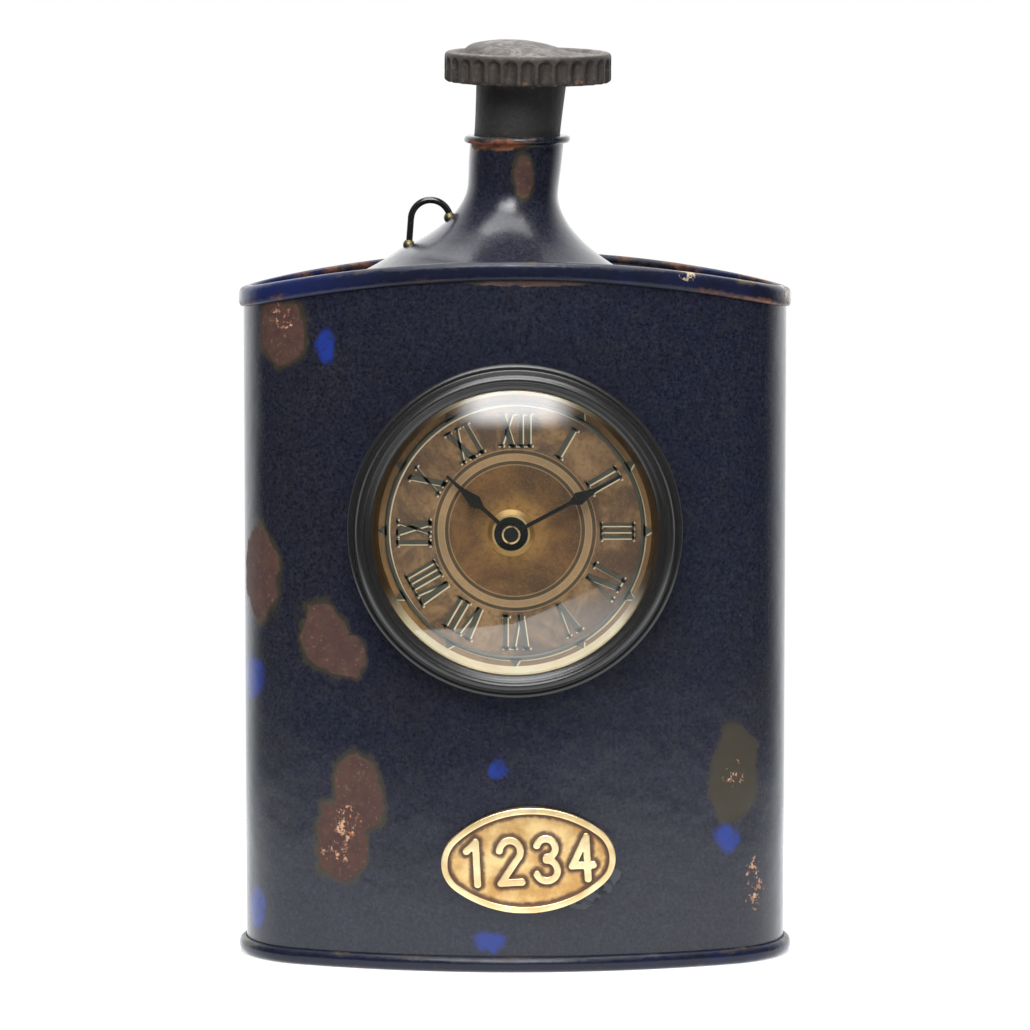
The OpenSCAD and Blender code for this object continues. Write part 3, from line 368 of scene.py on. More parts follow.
def enamel_wear(paint):
    """Masks of the enamel's damage: rust, its halo, chips and blue spots."""
    edge = paint.ragged(4.4, 120)
    small = paint.patches(LIP_RUST + SMALL_RUST, paint.ragged(1.2, 300)) * 0.6
    rusted = paint.patches(RUSTED, edge).maths("MAXIMUM", small)
    rust = rusted.above(0.0, 0.1)
    halo = rusted.maths("MAXIMUM", paint.patches(STAINED, edge)).above(-0.24, 0.05)
    chip = paint.blots(CHIPPED, 3.4, 420) * paint.noise(620, 4, 0.7).above(0.54, 0.59)
    blue = paint.patches(BLUE_SPOTS, paint.ragged(3.4, 150)).above(0.0, 0.5)
    return rust, halo, chip, blue * paint.noise(330, 4, 0.7).above(0.15, 0.5)


def enamel():
    """Old glossy navy enamel, stained, rusted and chipped"""
    flask = bpy.context.scene.flask
    paint = new_paint("enamel")
    rust, halo, chip, blue = enamel_wear(paint)
    cloud = paint.noise(26, 4, 0.6)
    fine = paint.noise(240, 4, 0.65)
    grain = paint.noise(1500, 2, 0.5)
    speck = paint.noise(1100, 3, 0.75)
    dust = paint.cells(420).below(0.05, 0.12) * grain.above(0.45, 0.6)
    crumbs = paint.noise(900, 3, 0.7).above(0.58, 0.68)
    flame = paint.blots(LIP_RUST, 1.2, 300) * fine.above(0.35, 0.6)
    lip = paint.blots(LIP_WORN, 1.5, 300) * fine.above(0.38, 0.6)
    glue = paint.blots(GLUE, 1.2, 260) * (0.35 + fine * 0.5)
    cracks = paint.noise(330, 3, 0.6).above(0.53, 0.57)
    raw = paint.noise(520, 3, 0.6).above(0.45, 0.6)
    rusty = paint.layers(
        flask.rust,
        (fine.above(0.35, 0.65), (0.05, 0.02, 0.018)),  # dark clouds
        (crumbs * 0.6, (0.17, 0.1, 0.07)),  # pale crumbs
        (flame, (0.3, 0.09, 0.035)))  # orange under the lip
    colour = paint.layers(
        flask.navy,
        (cloud.above(0.4, 0.66) * 0.6, (0.0145, 0.0145, 0.021)),  # grey clouds
        (fine.above(0.5, 0.72) * 0.45, (0.022, 0.02, 0.02)),  # brown bloom
        (speck.above(0.5, 0.66) * 0.55, (0.034, 0.036, 0.054)),  # pale specks
        (speck.below(0.36, 0.47) * 0.6, (0.003, 0.003, 0.006)),  # dark specks
        (dust * 0.5, (0.07, 0.07, 0.08)),
        (blue * 0.9, flask.cobalt),
        (halo * 0.8, flask.olive),
        (rust, rusty),
        (lip * 0.85, (0.11, 0.085, 0.07)),  # worn lip
        (glue * (1 - cracks), (0.085, 0.1, 0.12)),  # film of glue
        (glue.above(0.1, 0.2) * cracks, (0.004, 0.004, 0.005)),  # cracks in it
        (chip, paint.mix(raw, flask.chip, (0.36, 0.13, 0.06))))
    rough = 0.19 + fine * 0.1 + rust * 0.34 + halo * 0.08 + chip * 0.2 + glue * 0.2
    # Waves, a faint pebble and grain, with the rust and the chips sunk into it
    height = paint.noise(70, 2, 0.5) * 0.5 + paint.noise(420, 2, 0.5) * 0.05 + grain * 0.012
    height = height - rust * 0.16 - chip * 0.1 + rust * fine * 0.12
    return paint.surface(height, 0.6, Base_Color=colour, Roughness=rough, Specular_IOR_Level=0.42)


def rim_enamel():
    """Cobalt enamel on a bead, worn to rust and old brass along its edges"""
    flask = bpy.context.scene.flask
    paint = new_paint("rim_enamel")
    x, y, z = paint.axes()
    arched = RIM_HIGH.z - x * x * (flask.rim_drop / (RIM_HIGH.x * RIM_HIGH.x))
    upper = z.above(0.1, 0.11)  # 0 on the foot's bead, 1 on the upper one
    top_down = (arched - z) / (5 * MM)
    foot_down = (FOOT_HIGH.z - z) / (FOOT_HIGH.z - FOOT_LOW.z)
    down = top_down * upper + foot_down * (1 - upper) + (paint.noise(160, 4, 0.6) - 0.5) * 0.9
    ends = abs(x).above(30 * MM, 64 * MM)
    left = x.below(-62 * MM, -30 * MM) * paint.noise(22, 2, 0.5).above(0.42, 0.58)
    fine = paint.noise(500, 4, 0.7)
    edge_top, edge_low = down.below(0.05, 0.3), down.above(0.72, 0.95)
    gilt = edge_top * paint.noise(90, 3, 0.6).above(0.5, 0.62) * (0.25 + ends * 0.75)
    worn = edge_low * paint.noise(60, 3, 0.6).above(0.5, 0.6) * (0.2 + ends * 0.8)
    back = y.above(-2 * MM, 14 * MM) * upper * paint.noise(110, 4, 0.6).above(0.5, 0.6)
    chip = paint.patches(RIM_CHIPS, paint.ragged(2.5, 300)).above(0, 0.2) * fine.above(0.5, 0.56)
    aged = fine.above(0.4, 0.6)
    gold = paint.mix(aged, (0.12, 0.085, 0.035), (0.035, 0.03, 0.02))
    rusty = paint.mix(aged, (0.17, 0.065, 0.03), (0.05, 0.025, 0.018))
    colour = paint.layers(
        (0.008, 0.01, 0.024),
        (left, (0.01, 0.016, 0.07)),
        (paint.noise(45, 2, 0.5).above(0.5, 0.7) * 0.45, (0.012, 0.018, 0.075)),  # cobalt clouds
        (fine.above(0.5, 0.7) * 0.4, (0.022, 0.021, 0.02)),  # brown bloom
        (gilt, gold),
        (worn, rusty),
        (back * 0.7, rusty),
        (chip, (0.4, 0.33, 0.22)))
    return paint.surface(
        paint.noise(150, 3, 0.6) * 0.5 + fine * 0.1, 0.35, Base_Color=colour,
        Roughness=0.17 + fine * 0.12 + (edge_top + edge_low) * 0.16, Specular_IOR_Level=0.28)


def moulded(name, colour, rough=0.5, grain=900, depth=0.05):
    """Plain moulded plastic or rubber with a fine grain; depth is the grain's, in mm"""
    paint = new_paint(name)
    cloud = paint.noise(90, 3, 0.5)
    shade = paint.mix(cloud.above(0.35, 0.65) * 0.5, colour, tuple(c * 0.7 for c in colour))
    return paint.surface(
        paint.noise(grain, 3, 0.6), depth, Base_Color=shade, Roughness=rough + (cloud - 0.5) * 0.12)


def old_rubber():
    """The stopper: matte brown-black, dusty on top"""
    paint = new_paint("old_rubber")
    fine = paint.noise(700, 4, 0.65)
    cloud = paint.noise(130, 4, 0.6)
    z = paint.axes()[2]
    plug = z.below(229.6 * MM, 231 * MM)
    dusty = paint.attribute("upward").above(0.55, 0.95) * (0.35 + cloud * 0.7)
    streak = paint.noise(260, 4, 0.7, twist=1.2).above(0.42, 0.64)
    foot = z.below(231.5 * MM, 233.5 * MM) * (1 - plug)
    colour = paint.layers(
        (0.02, 0.016, 0.0135),
        (cloud.above(0.35, 0.65), (0.034, 0.027, 0.022)),  # brown clouds
        (plug, (0.017, 0.017, 0.0165)),
        (fine.above(0.52, 0.66) * (1 - plug * 0.7) * 0.5, (0.095, 0.075, 0.062)),  # pale grains
        (dusty, paint.mix(streak, (0.062, 0.054, 0.05), (0.2, 0.18, 0.17))),
        (foot * paint.noise(420, 3, 0.7).above(0.58, 0.66), (0.16, 0.075, 0.05)))  # red specks
    return paint.surface(fine + cloud, 0.2, Base_Color=colour, Roughness=0.55 + fine * 0.2)


def metal(name, colour, rough=0.3, wear=0.5, dark=0.45, grain=500, depth=0.02):
    """Aged metal, a little darker in clouds; depth is the grain's, in mm"""
    paint = new_paint(name)
    cloud = paint.noise(140, 4, 0.6)
    shade = paint.mix(cloud.above(0.35, 0.7) * wear, colour, tuple(c * dark for c in colour))
    return paint.surface(
        paint.noise(grain, 3, 0.6), depth, Base_Color=shade, Metallic=1.0,
        Roughness=rough + (cloud - 0.4) * 0.2)


def cast_brass():
    """Number plate: dull field, painted highlight on the relief, grime and painted shade by it"""
    paint = new_paint("cast_brass")
    cloud = paint.noise(120, 4, 0.6)
    fine = paint.noise(700, 4, 0.6)
    bright = cloud.above(0.35, 0.65)
    field = paint.mix(bright, (0.55, 0.31, 0.11), (0.88, 0.62, 0.29))
    relief = paint.mix(bright, (0.74, 0.54, 0.27), (0.92, 0.75, 0.44))
    # Grime and painted shade, darkest next to the relief; it also makes the brass duller and
    # rougher there
    dirt_and_shade = (paint.attribute("grime_and_shade") * 1.6 + (fine - 0.5) * 0.8).above(0.08, 0.9)
    colour = paint.layers(
        field,
        # Painted highlight: a lighter colour along the relief's tops
        (paint.attribute("proud").above(0.7, 0.95), relief),
        (dirt_and_shade * 0.92, (0.075, 0.036, 0.026)))
    return paint.surface(
        fine + cloud, 0.06, Base_Color=colour, Metallic=1 - dirt_and_shade * 0.6,
        Roughness=0.3 + cloud * 0.12 + dirt_and_shade * 0.3)


def gloss_black(name, rough):
    """Polished black, with faint dust"""
    paint = new_paint(name)
    dust = paint.noise(1100, 3, 0.7)
    colour = paint.mix(dust.above(0.58, 0.7) * 0.5, (0.012, 0.0115, 0.0115), (0.05, 0.047, 0.045))
    return paint.surface(
        dust, 0.015, Base_Color=colour, Roughness=rough + paint.noise(60, 3, 0.5) * 0.1)


def clear_glass():
    """Clear glass that lets the light straight through and mirrors by its angle"""
    paint = new_paint("clear_glass")
    front = 1 - paint.node("ShaderNodeNewGeometry", None, (), "Backfacing")
    clear = paint.shader("BsdfTransparent", Color=(0.97, 0.975, 0.97, 1))
    mirror = paint.shader("BsdfGlossy", Color=(1, 1, 1, 1), Roughness=0.045)
    return paint.finish(paint.blend(paint.shader("Fresnel", IOR=1.8) * front, clear, mirror))


def pale_brass():
    """The pale sloping ring inside the glass, with painted shade on its left and right sides"""
    paint = new_paint("pale_brass")
    cloud = paint.noise(160, 4, 0.6)
    x, _, z = paint.axes(paint.vector("NORMALIZE", paint.flat(CLOCK)))
    # Painted shade on the left and right, clear of the bottom; there the ring also turns more
    # metallic
    painted_side_shade = abs(x).above(0.3, 0.75) * z.above(-0.72, -0.35)
    colour = paint.layers(
        (0.93, 0.85, 0.6),
        (cloud.above(0.35, 0.65) * 0.4, (0.72, 0.55, 0.28)),  # dull clouds
        (painted_side_shade * 0.93, (0.1, 0.055, 0.022)))
    return paint.finish(paint.shader(
        "BsdfPrincipled", Base_Color=colour, Metallic=0.3 + painted_side_shade * 0.6,
        Roughness=0.34 + cloud * 0.1))


def cap_black():
    """The hands' cap: black with a thin gold ring"""
    paint = new_paint("cap_black")
    low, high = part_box("cap_nut")
    size = (high.x - low.x) / 2
    away = abs(paint.vector("LENGTH", paint.flat((low + high) / 2)) - 0.8 * size)
    ring = away.below(0.05 * size, 0.11 * size) * paint.noise(500, 3, 0.6).above(0.3, 0.55)
    return paint.finish(paint.shader(
        "BsdfPrincipled", Base_Color=paint.mix(ring, (0.01, 0.01, 0.01), (0.8, 0.62, 0.33)),
        Metallic=ring, Roughness=0.55, Specular_IOR_Level=0.25))


def arbor_brass():
    """Brass, but black at the tip inside the hands' cap"""
    paint = new_paint("arbor_brass")
    cap_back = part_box("cap_nut")[1].y
    tip = paint.axes()[1].below(cap_back, cap_back + 0.5 * MM)
    cloud = paint.noise(140, 4, 0.6)
    colour = paint.layers(
        (0.75, 0.55, 0.24),
        (cloud.above(0.35, 0.7) * 0.3, (0.52, 0.38, 0.17)),  # dull clouds
        (tip, (0.008, 0.008, 0.008)))
    return paint.finish(paint.shader(
        "BsdfPrincipled", Base_Color=colour, Metallic=1 - tip, Roughness=0.3 + tip * 0.4))


def dial_bronze():
    """Antique bronze, darker inside the double ring, with the ring's two dark lines"""
    clock = bpy.context.scene.clock
    paint = new_paint("dial_bronze")
    flat = paint.flat(CLOCK)
    r = paint.vector("LENGTH", flat)
    cloud = paint.noise(75, 5, 0.65, twist=0.6)
    fine = paint.noise(900, 3, 0.6)
    inner = paint.mix(cloud.above(0.35, 0.65), (0.2, 0.095, 0.03), (0.085, 0.045, 0.02))
    east = paint.axes(flat)[0].above(6 * MM, 26 * MM) * cloud.above(0.3, 0.5)
    band = r.above(18 * MM, 18.3 * MM) * r.below(20.1 * MM, 20.4 * MM)
    colour = paint.layers(
        clock.bronze,
        (cloud.above(0.4, 0.6) * 0.85, (0.07, 0.05, 0.045)),  # dark clouds
        (cloud.below(0.32, 0.46) * 0.5, (0.4, 0.27, 0.14)),  # light clouds
        (paint.noise(28, 2, 0.5).above(0.4, 0.62) * 0.4, (0.22, 0.11, 0.045)),  # broad brown
        (r.below(16.8 * MM, 17.6 * MM) * 0.85, inner),
        (r.below(5.5 * MM, 12 * MM) * 0.6, (0.5, 0.27, 0.08)),  # warm round the hands' cap
        (fine.above(0.45, 0.7) * 0.5, tuple(c * 0.3 for c in clock.bronze)),  # dark grains
        (east * 0.45, (0.07, 0.045, 0.035)),
        (paint.noise(1700, 2, 0.6).above(0.5, 0.7) * 0.2, (0.36, 0.24, 0.12)),  # bright grains
        (band * 0.55, (0.5, 0.33, 0.17)),
        (r.above(33.5 * MM, 34.6 * MM) * 0.6, (0.3, 0.17, 0.06)))  # brown edge
    for radius in (17.75, 20.55):
        line = abs(r - radius * MM)
        colour = paint.layers(
            colour,
            (line.below(0.6 * MM, 0.85 * MM) * 0.5, (0.5, 0.33, 0.16)),  # pale rim of the line
            (line.below(0.36 * MM, 0.52 * MM) * 0.8, clock.ink))
    return paint.surface(
        fine * 0.3 + cloud, 0.05, Base_Color=colour, Metallic=0.35, Roughness=0.42 + cloud * 0.15)


# Meshes

# Columns of faces round a piece
COLUMNS = {"top": 256, "rim": 320, "plug": 96, "head": 720, "ring": 256, "glass": 256}


def deselect():
    if bpy.context.object and bpy.context.object.mode != "OBJECT":
        bpy.ops.object.mode_set(mode="OBJECT")
    bpy.ops.object.select_all(action="DESELECT")


def pick(piece):
    deselect()
    piece.select_set(True)
    bpy.context.view_layer.objects.active = piece


def merge(piece):
    """Merges doubled corners and turns all faces outwards."""
    pick(piece)
    bpy.ops.object.mode_set(mode="EDIT")
    bpy.ops.mesh.select_all(action="SELECT")
    bpy.ops.mesh.remove_doubles(threshold=1e-6)
    bpy.ops.mesh.normals_make_consistent(inside=False)
    bpy.ops.object.mode_set(mode="OBJECT")


def new_piece(name, piece, material, body, replaces=()):
    """Names a finished mesh, gives it its material, and lets it ride on its body."""
    piece.name = name
    piece.data.name = name
    piece.data.materials.clear()
    piece.data.materials.append(material)
    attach(piece, body)
    if replaces:
        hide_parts(*replaces)
    return piece


def polygon(points, fill="NOTHING"):
    """A ring of points, as a circle primitive whose corners are moved to their places."""
    deselect()
    bpy.ops.mesh.primitive_circle_add(
        vertices=len(points), radius=1, fill_type=fill, location=(0, 0, 0))
    piece = bpy.context.object
    for vertex, point in zip(piece.data.vertices, points):
        vertex.co = point
    return piece


def wrap_rings(around, rings, place):
    """A grid primitive laid over rings; place gives a ring's point at a share of its turn."""
    last = len(rings) - 1
    deselect()
    bpy.ops.mesh.primitive_grid_add(
        x_subdivisions=around, y_subdivisions=last, size=1, location=(0, 0, 0))
    piece = bpy.context.object
    for vertex in piece.data.vertices:
        vertex.co = place(vertex.co.x + 0.5, rings[round((vertex.co.y + 0.5) * last)])
    merge(piece)
    bpy.ops.object.shade_smooth()
    return piece


def join(pieces):
    deselect()
    for piece in pieces:
        piece.select_set(True)
    bpy.context.view_layer.objects.active = pieces[0]
    bpy.ops.object.join()
    return bpy.context.object


def cad_copy(node):
    """A copy of a part's mesh, merged, at the origin."""
    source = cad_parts[node]
    piece = source.copy()
    piece.data = source.data.copy()
    bpy.context.scene.collection.objects.link(piece)
    piece.parent = None
    piece.matrix_world = Matrix.Identity(4)
    piece.data.transform(source.matrix_world)
    pick(piece)
    bpy.ops.mesh.customdata_custom_splitnormals_clear()
    merge(piece)
    return piece


def mark(piece, name, values):
    """Keeps a number at every vertex, for a material to read."""
    marks = piece.data.attributes.new(name, "FLOAT", "POINT")
    for item, value in zip(marks.data, values):
        item.value = value


def clamp(value):
    return min(1.0, max(0.0, value))


def polar(radius, angle, height):
    return radius * math.cos(angle), radius * math.sin(angle), height


class Oval:
    """The flask's outline: an arc at each narrow end and a flat arc front and back"""

    def __init__(self, half_width, half_depth, end):
        middle = half_width - end
        face = (middle ** 2 + half_depth ** 2 - end ** 2) / (2 * (half_depth - end))
        turn = math.atan2(face - half_depth, middle)
        flat = math.pi - 2 * turn
        self.arcs = (
            ((middle, 0), end, -turn, 2 * turn),
            ((0, half_depth - face), face, turn, flat),
            ((-middle, 0), end, math.pi - turn, 2 * turn),
            ((0, face - half_depth), face, math.pi + turn, flat))
        self.length = sum(radius * sweep for _, radius, _, sweep in self.arcs)

    def at(self, share, out=0.0):
        """The point at a share of the way round, moved outwards."""
        left = (share % 1) * self.length
        for centre, radius, start, sweep in self.arcs:
            if left <= radius * sweep:
                break
            left -= radius * sweep
        x, y, _ = polar(radius + out, start + min(left / radius, sweep), 0)
        return centre[0] + x, centre[1] + y


def outline():
    flask = bpy.context.scene.flask
    return Oval(flask.half_width, flask.half_depth, flask.end_radius)


def arch(x, down):
    """Height of the arched upper edge, so far below the rim's top."""
    flask = bpy.context.scene.flask
    radius = (flask.half_width ** 2 + flask.rim_drop ** 2) / (2 * flask.rim_drop)
    return RIM_HIGH.z - radius + math.sqrt((radius - down) ** 2 - x * x)


def lean(x, y, z):
    """From the leaning neck's frame to the flask's."""
    flask = bpy.context.scene.flask
    turn = Matrix.Rotation(flask.lean_side, 3, "Y") @ Matrix.Rotation(flask.lean_front, 3, "X")
    return turn @ Vector((x, y, z)) + Vector(flask.neck_foot)


def flare(height):
    """Outer radius of the neck at a height over its foot, with a faint waist over the flare."""
    flask = bpy.context.scene.flask
    waist_height, waist_reach, waist_depth = 19 * MM, 6 * MM, 0.4 * MM
    rest = max(0.0, 1 - height / flask.flare_height)
    waist = math.exp(-((height - waist_height) / waist_reach) ** 2) * waist_depth
    return flask.neck_radius + (flask.neck_foot_radius - flask.neck_radius) * rest ** 2.1 - waist


def flask_top():
    """The shoulder, the flare, the neck, its rolled lip and the inside, as one skin"""
    flask = bpy.context.scene.flask
    oval = outline()
    skin, inset, below = 1 * MM, 1.05 * MM, 3.1 * MM
    steps, flare_steps, inner_steps = 18, 22, 12
    slope = math.tan(math.radians(35))
    level_from, level_run, lip_drop = 22 * MM, 8 * MM, 0.9 * MM
    top = flask.neck_height
    lip_r, lip = 1 * MM, flask.neck_radius + 0.7 * MM
    bore = flask.neck_radius - skin
    heights = [flask.flare_height * i / flare_steps for i in range(flare_steps)]
    heights += [h * MM for h in (18.4, 20, 22, 24, 26, 28, 30, 31.2)]
    rings = [("shoulder", i / steps, 0.0) for i in range(steps)]
    rings += [("neck", flare(h), h) for h in heights]
    for degrees in range(-120, 91, 15):
        out, up, _ = polar(lip_r, math.radians(degrees), 0)
        rings.append(("neck", lip + out, top - lip_r + up))
    rings += [("neck", bore + 0.5 * MM, top), ("neck", bore + 0.12 * MM, top - 0.15 * MM),
              ("neck", bore, top - 0.6 * MM), ("neck", bore, flask.flare_height + 2 * MM)]
    rings += [("neck", flare(h) - 1.2 * skin, h - 0.4 * skin)
              for h in (flask.flare_height * (1 - i / inner_steps) for i in range(inner_steps))]
    rings += [("shoulder", 1 - i / steps, skin) for i in range(1, steps + 1)]
    rings.append(rings[0])

    def neck_point(radius, angle, height):
        """The neck leans, but its lip lies level."""
        level = clamp((height - level_from) / level_run)
        lift = level * (radius * math.cos(angle) * math.sin(flask.lean_side) - lip_drop)
        return lean(*polar(radius, angle, height)) + Vector((0, 0, lift))

    def place(share, ring):
        kind, first, second = ring
        x, y = oval.at(share, -inset)
        angle = math.atan2(y, x - flask.neck_foot[0])
        if kind == "neck":
            return neck_point(first, angle, second)
        foot = lean(*polar(flask.neck_foot_radius, angle, 0))
        # Level at the rim, and climbing at the slope where it meets the flare
        run = math.hypot(foot.x - x, foot.y - y)
        s = first
        height = (arch(x, below) * (2 * s ** 3 - 3 * s * s + 1) + foot.z * (3 * s * s - 2 * s ** 3)
                  + run * slope * (s ** 3 - s * s))
        return Vector((x + (foot.x - x) * s, y + (foot.y - y) * s, height - second))

    return wrap_rings(COLUMNS["top"], rings, place)


# The rims' sections in mm: out from the wall, and down from the top or up from the foot
TOP_BEAD = [
    (-1.85, 2), (-1.85, 0.5), (-1.55, 0.1), (-1, 0), (-0.3, 0.02), (0.3, 0.12), (0.75, 0.4),
    (1.05, 0.85), (1.19, 1.4), (1.2, 2.2), (1.2, 3), (1.17, 3.7), (1.02, 4.3), (0.75, 4.75),
    (0.4, 4.97), (0.03, 5), (0.03, 1), (-1, 0.9), (-1, 2), (-1.85, 2)]
FOOT_BEAD = [
    (0.03, 4.2), (0.6, 4.15), (1.15, 3.95), (1.6, 3.5), (1.87, 2.9), (1.96, 2.2), (1.9, 1.5),
    (1.65, 0.8), (1.2, 0.3), (0.6, 0.04), (-0.2, 0), (-1.4, 0), (-1.6, 0.3), (-1.6, 0.9),
    (0.03, 0.9), (0.03, 4.2)]


def bead(section, height):
    """A bead that runs round the outline; height takes x and the section's second number."""
    oval = outline()

    def place(share, corner):
        x, y = oval.at(share, corner[0] * MM)
        return Vector((x, y, height(x, corner[1] * MM)))

    return wrap_rings(COLUMNS["rim"], section, place)


def stopper_plug():
    """The plug, with the groove of its seal"""
    stopper = bpy.context.scene.stopper
    r, end, foot = stopper.plug_radius, stopper.plug_end, stopper.head_foot
    groove, groove_low, groove_high = 10 * MM, end + 2.2 * MM, end + 5.1 * MM
    cone_low, widening, sunk = end + 15 * MM, 0.6 * MM, foot + 1.9 * MM
    rings = [(0, end), (r - 1.2 * MM, end), (r - 0.5 * MM, end + 0.15 * MM),
             (r - 0.1 * MM, end + 0.5 * MM), (r, end + 1 * MM), (r, groove_low),
             (groove, groove_low), (groove, groove_high), (r, groove_high)]
    rings += [(r + widening * (i / 10) ** 1.3, cone_low + (foot - cone_low) * i / 10)
              for i in range(11)]
    rings += [(r + widening, sunk), (0, sunk)]

    def place(share, ring):
        return lean(*polar(ring[0], share * math.tau, ring[1]))

    return wrap_rings(COLUMNS["plug"], rings, place)


# The head's side in mm, for a head of SIDE_RADIUS: radius, and height over its underside
SIDE_RADIUS = 22
HEAD_SIDE = [(0, 0), (6, 0), (12, 0), (17, 0), (20, 0), (21.2, 0.08), (21.75, 0.35), (21.95, 0.75)]
HEAD_SIDE += [(SIDE_RADIUS, 1.1 + 0.3 * i) for i in range(20)]
HEAD_SIDE += [(21.95, 7.1), (21.82, 7.45), (21.55, 7.72), (21.15, 7.9), (20.6, 8), (20, 8),
              (19.5, 7.9), (19.05, 7.65), (18.7, 7.35)]


def stopper_head():
    """The fluted head with its raised rim, its moat and its dome off the middle, a little worn"""
    stopper = bpy.context.scene.stopper
    unit = stopper.head_radius / SIDE_RADIUS
    tilt = Matrix.Rotation(stopper.tilt_side, 3, "Y") @ Matrix.Rotation(stopper.tilt_front, 3, "X")
    middle = Vector((stopper.head_shift, 0, stopper.head_foot))
    moat_r, dome_r, moat_z, moat_run, soft = 18.4 * unit, 18.6 * unit, 7 * MM, 4 * MM, 0.5 * MM
    flute_share, flute_top, flute_arch, flute_r = 0.415, 6.75 * MM, 1.2 * MM, 20.5 * unit
    top_steps = 26
    rings = [(r * unit, z * MM) for r, z in HEAD_SIDE]
    rings += [(moat_r * (1 - i / top_steps), None) for i in range(top_steps + 1)]

    def dome(x, y):
        gone = ((x + stopper.dome_shift) ** 2 + y * y) / dome_r ** 2
        foot = clamp((moat_r - math.hypot(x, y)) / moat_run)
        rise = stopper.dome_height * (1 - gone) * foot * (2 - foot)
        return moat_z + 0.5 * (rise + math.sqrt(rise * rise + soft ** 2)) - 0.12 * MM

    def flute(share, z):
        across = abs((share * stopper.flutes) % 1 - 0.5) / flute_share
        if across >= 1:
            return 0.0
        fade = clamp((flute_top - flute_arch * across ** 2 - z) / soft)
        return stopper.flute_depth * (1 - across ** 2) ** 0.8 * fade * fade * (3 - 2 * fade)

    def place(share, ring):
        r, z = ring
        angle = share * math.tau
        if z is None:
            z = dome(*polar(r, angle, 0)[:2])
        elif r > flute_r and z < moat_z:
            r -= flute(share, z)
        point = Vector(polar(r, angle, z))
        worn = noise.noise(point * 260) * 0.07 * MM + noise.noise(point * 900) * 0.03 * MM
        point -= Vector(polar(abs(worn), angle, 0))
        return lean(*(tilt @ point + middle))

    return wrap_rings(COLUMNS["head"], rings, place)


# The bezel's section in mm: radius, and depth into the flask
BEZEL_SECTION = [
    (41.1, -0.2), (43.25, -0.2), (43.45, -0.35), (43.5, -0.6), (43.5, -1.6), (43.42, -1.95),
    (43.2, -2.22), (42.85, -2.38), (42.5, -2.4), (42.15, -2.32), (41.9, -2.3), (41.7, -2.5),
    (41.6, -2.9), (41.58, -4), (41.52, -5.4), (41.4, -6.2), (41.15, -6.9), (40.8, -7.45),
    (40.35, -7.83), (39.85, -8), (39.4, -7.95), (39.1, -7.75), (38.95, -7.4), (38.9, -7.1),
    (38.8, -6.95), (38.5, -6.9), (38.15, -6.8), (37.8, -6.62), (37.5, -6.4), (37.25, -6.15),
    (37.08, -5.8), (37, -5.3), (37, -5.02), (41.1, -5.02)]


def spun_ring(section, middle=CLOCK_FACE):
    """A ring turned from its section, by the spin tool, round the clock's axis."""
    piece = polygon([middle + Vector((r * MM, d * MM, 0)) for r, d in section])
    bpy.ops.object.mode_set(mode="EDIT")
    bpy.ops.mesh.select_all(action="SELECT")
    bpy.ops.mesh.spin(steps=COLUMNS["ring"], angle=math.tau, center=middle, axis=(0, 1, 0))
    merge(piece)
    bpy.ops.object.shade_smooth()
    return piece


def watch_glass():
    """The glass: a flat flange and a dome of even thickness, smooth right up to its middle"""
    clock = bpy.context.scene.clock
    low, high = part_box("crystal")
    rise, thick, edge = clock.glass_rise, clock.glass_thick, clock.glass_edge
    seat = (high.x - low.x) / 2
    ball = (edge * edge + rise * rise) / (2 * rise)
    inner = ball - thick
    inner_edge = math.sqrt(inner ** 2 - (ball - rise - thick) ** 2)
    steps, near_edge, sharp = 24, 0.998, math.radians(35)
    shares = [i / steps for i in range(steps)] + [near_edge, 1]
    rings = [(edge * s, ball - math.sqrt(ball ** 2 - (edge * s) ** 2)) for s in shares]
    rings += [(seat, rise), (seat, rise + thick)]
    rings += [(inner_edge * s, ball - math.sqrt(inner ** 2 - (inner_edge * s) ** 2))
              for s in reversed(shares)]

    def place(share, ring):
        x, z, depth = polar(ring[0], share * math.tau, ring[1])
        return Vector((CLOCK.x + x, low.y + depth, CLOCK.z + z))

    piece = wrap_rings(COLUMNS["glass"], rings, place)
    bpy.ops.object.shade_smooth_by_angle(angle=sharp)
    return piece


# The numerals from 1 to 12: letters as kind, place across and half width or stem width, in mm
NUMERALS = [
    [("I", 0, 1.35)],
    [("I", -1.15, 1.1), ("I", 1.15, 1.1)],
    [("I", -1.64, 0.8), ("I", 0, 0.8), ("I", 1.64, 0.8)],
    [("I", -2.8, 1.15), ("V", 1, 2)],
    [("V", 0, 2)],
    [("V", -1.3, 2), ("I", 2.5, 1.15)],
    [("V", -2, 1.8), ("I", 1.5, 1), ("I", 3.5, 1)],
    [("V", -2.9, 1.6), ("I", 0.2, 0.8), ("I", 1.9, 0.8), ("I", 3.6, 0.8)],
    [("I", -3, 1.15), ("X", 0.9, 1.9)],
    [("X", 0, 2)],
    [("X", -1.3, 1.9), ("I", 2.7, 1.15)],
    [("X", -2.2, 1.9), ("I", 1.5, 1), ("I", 3.5, 1)],
]


def bar(corners, low, high):
    """A cube primitive whose corners are moved to a flat four-cornered bar on the dial."""
    deselect()
    bpy.ops.mesh.primitive_cube_add(size=2, location=(0, 0, 0))
    piece = bpy.context.object
    for vertex in piece.data.vertices:
        across, depth, up = vertex.co
        x, z = corners[(0 if across < 0 else 1) + (0 if up < 0 else 2)]
        vertex.co = (x, low if depth > 0 else high, z)
    return piece


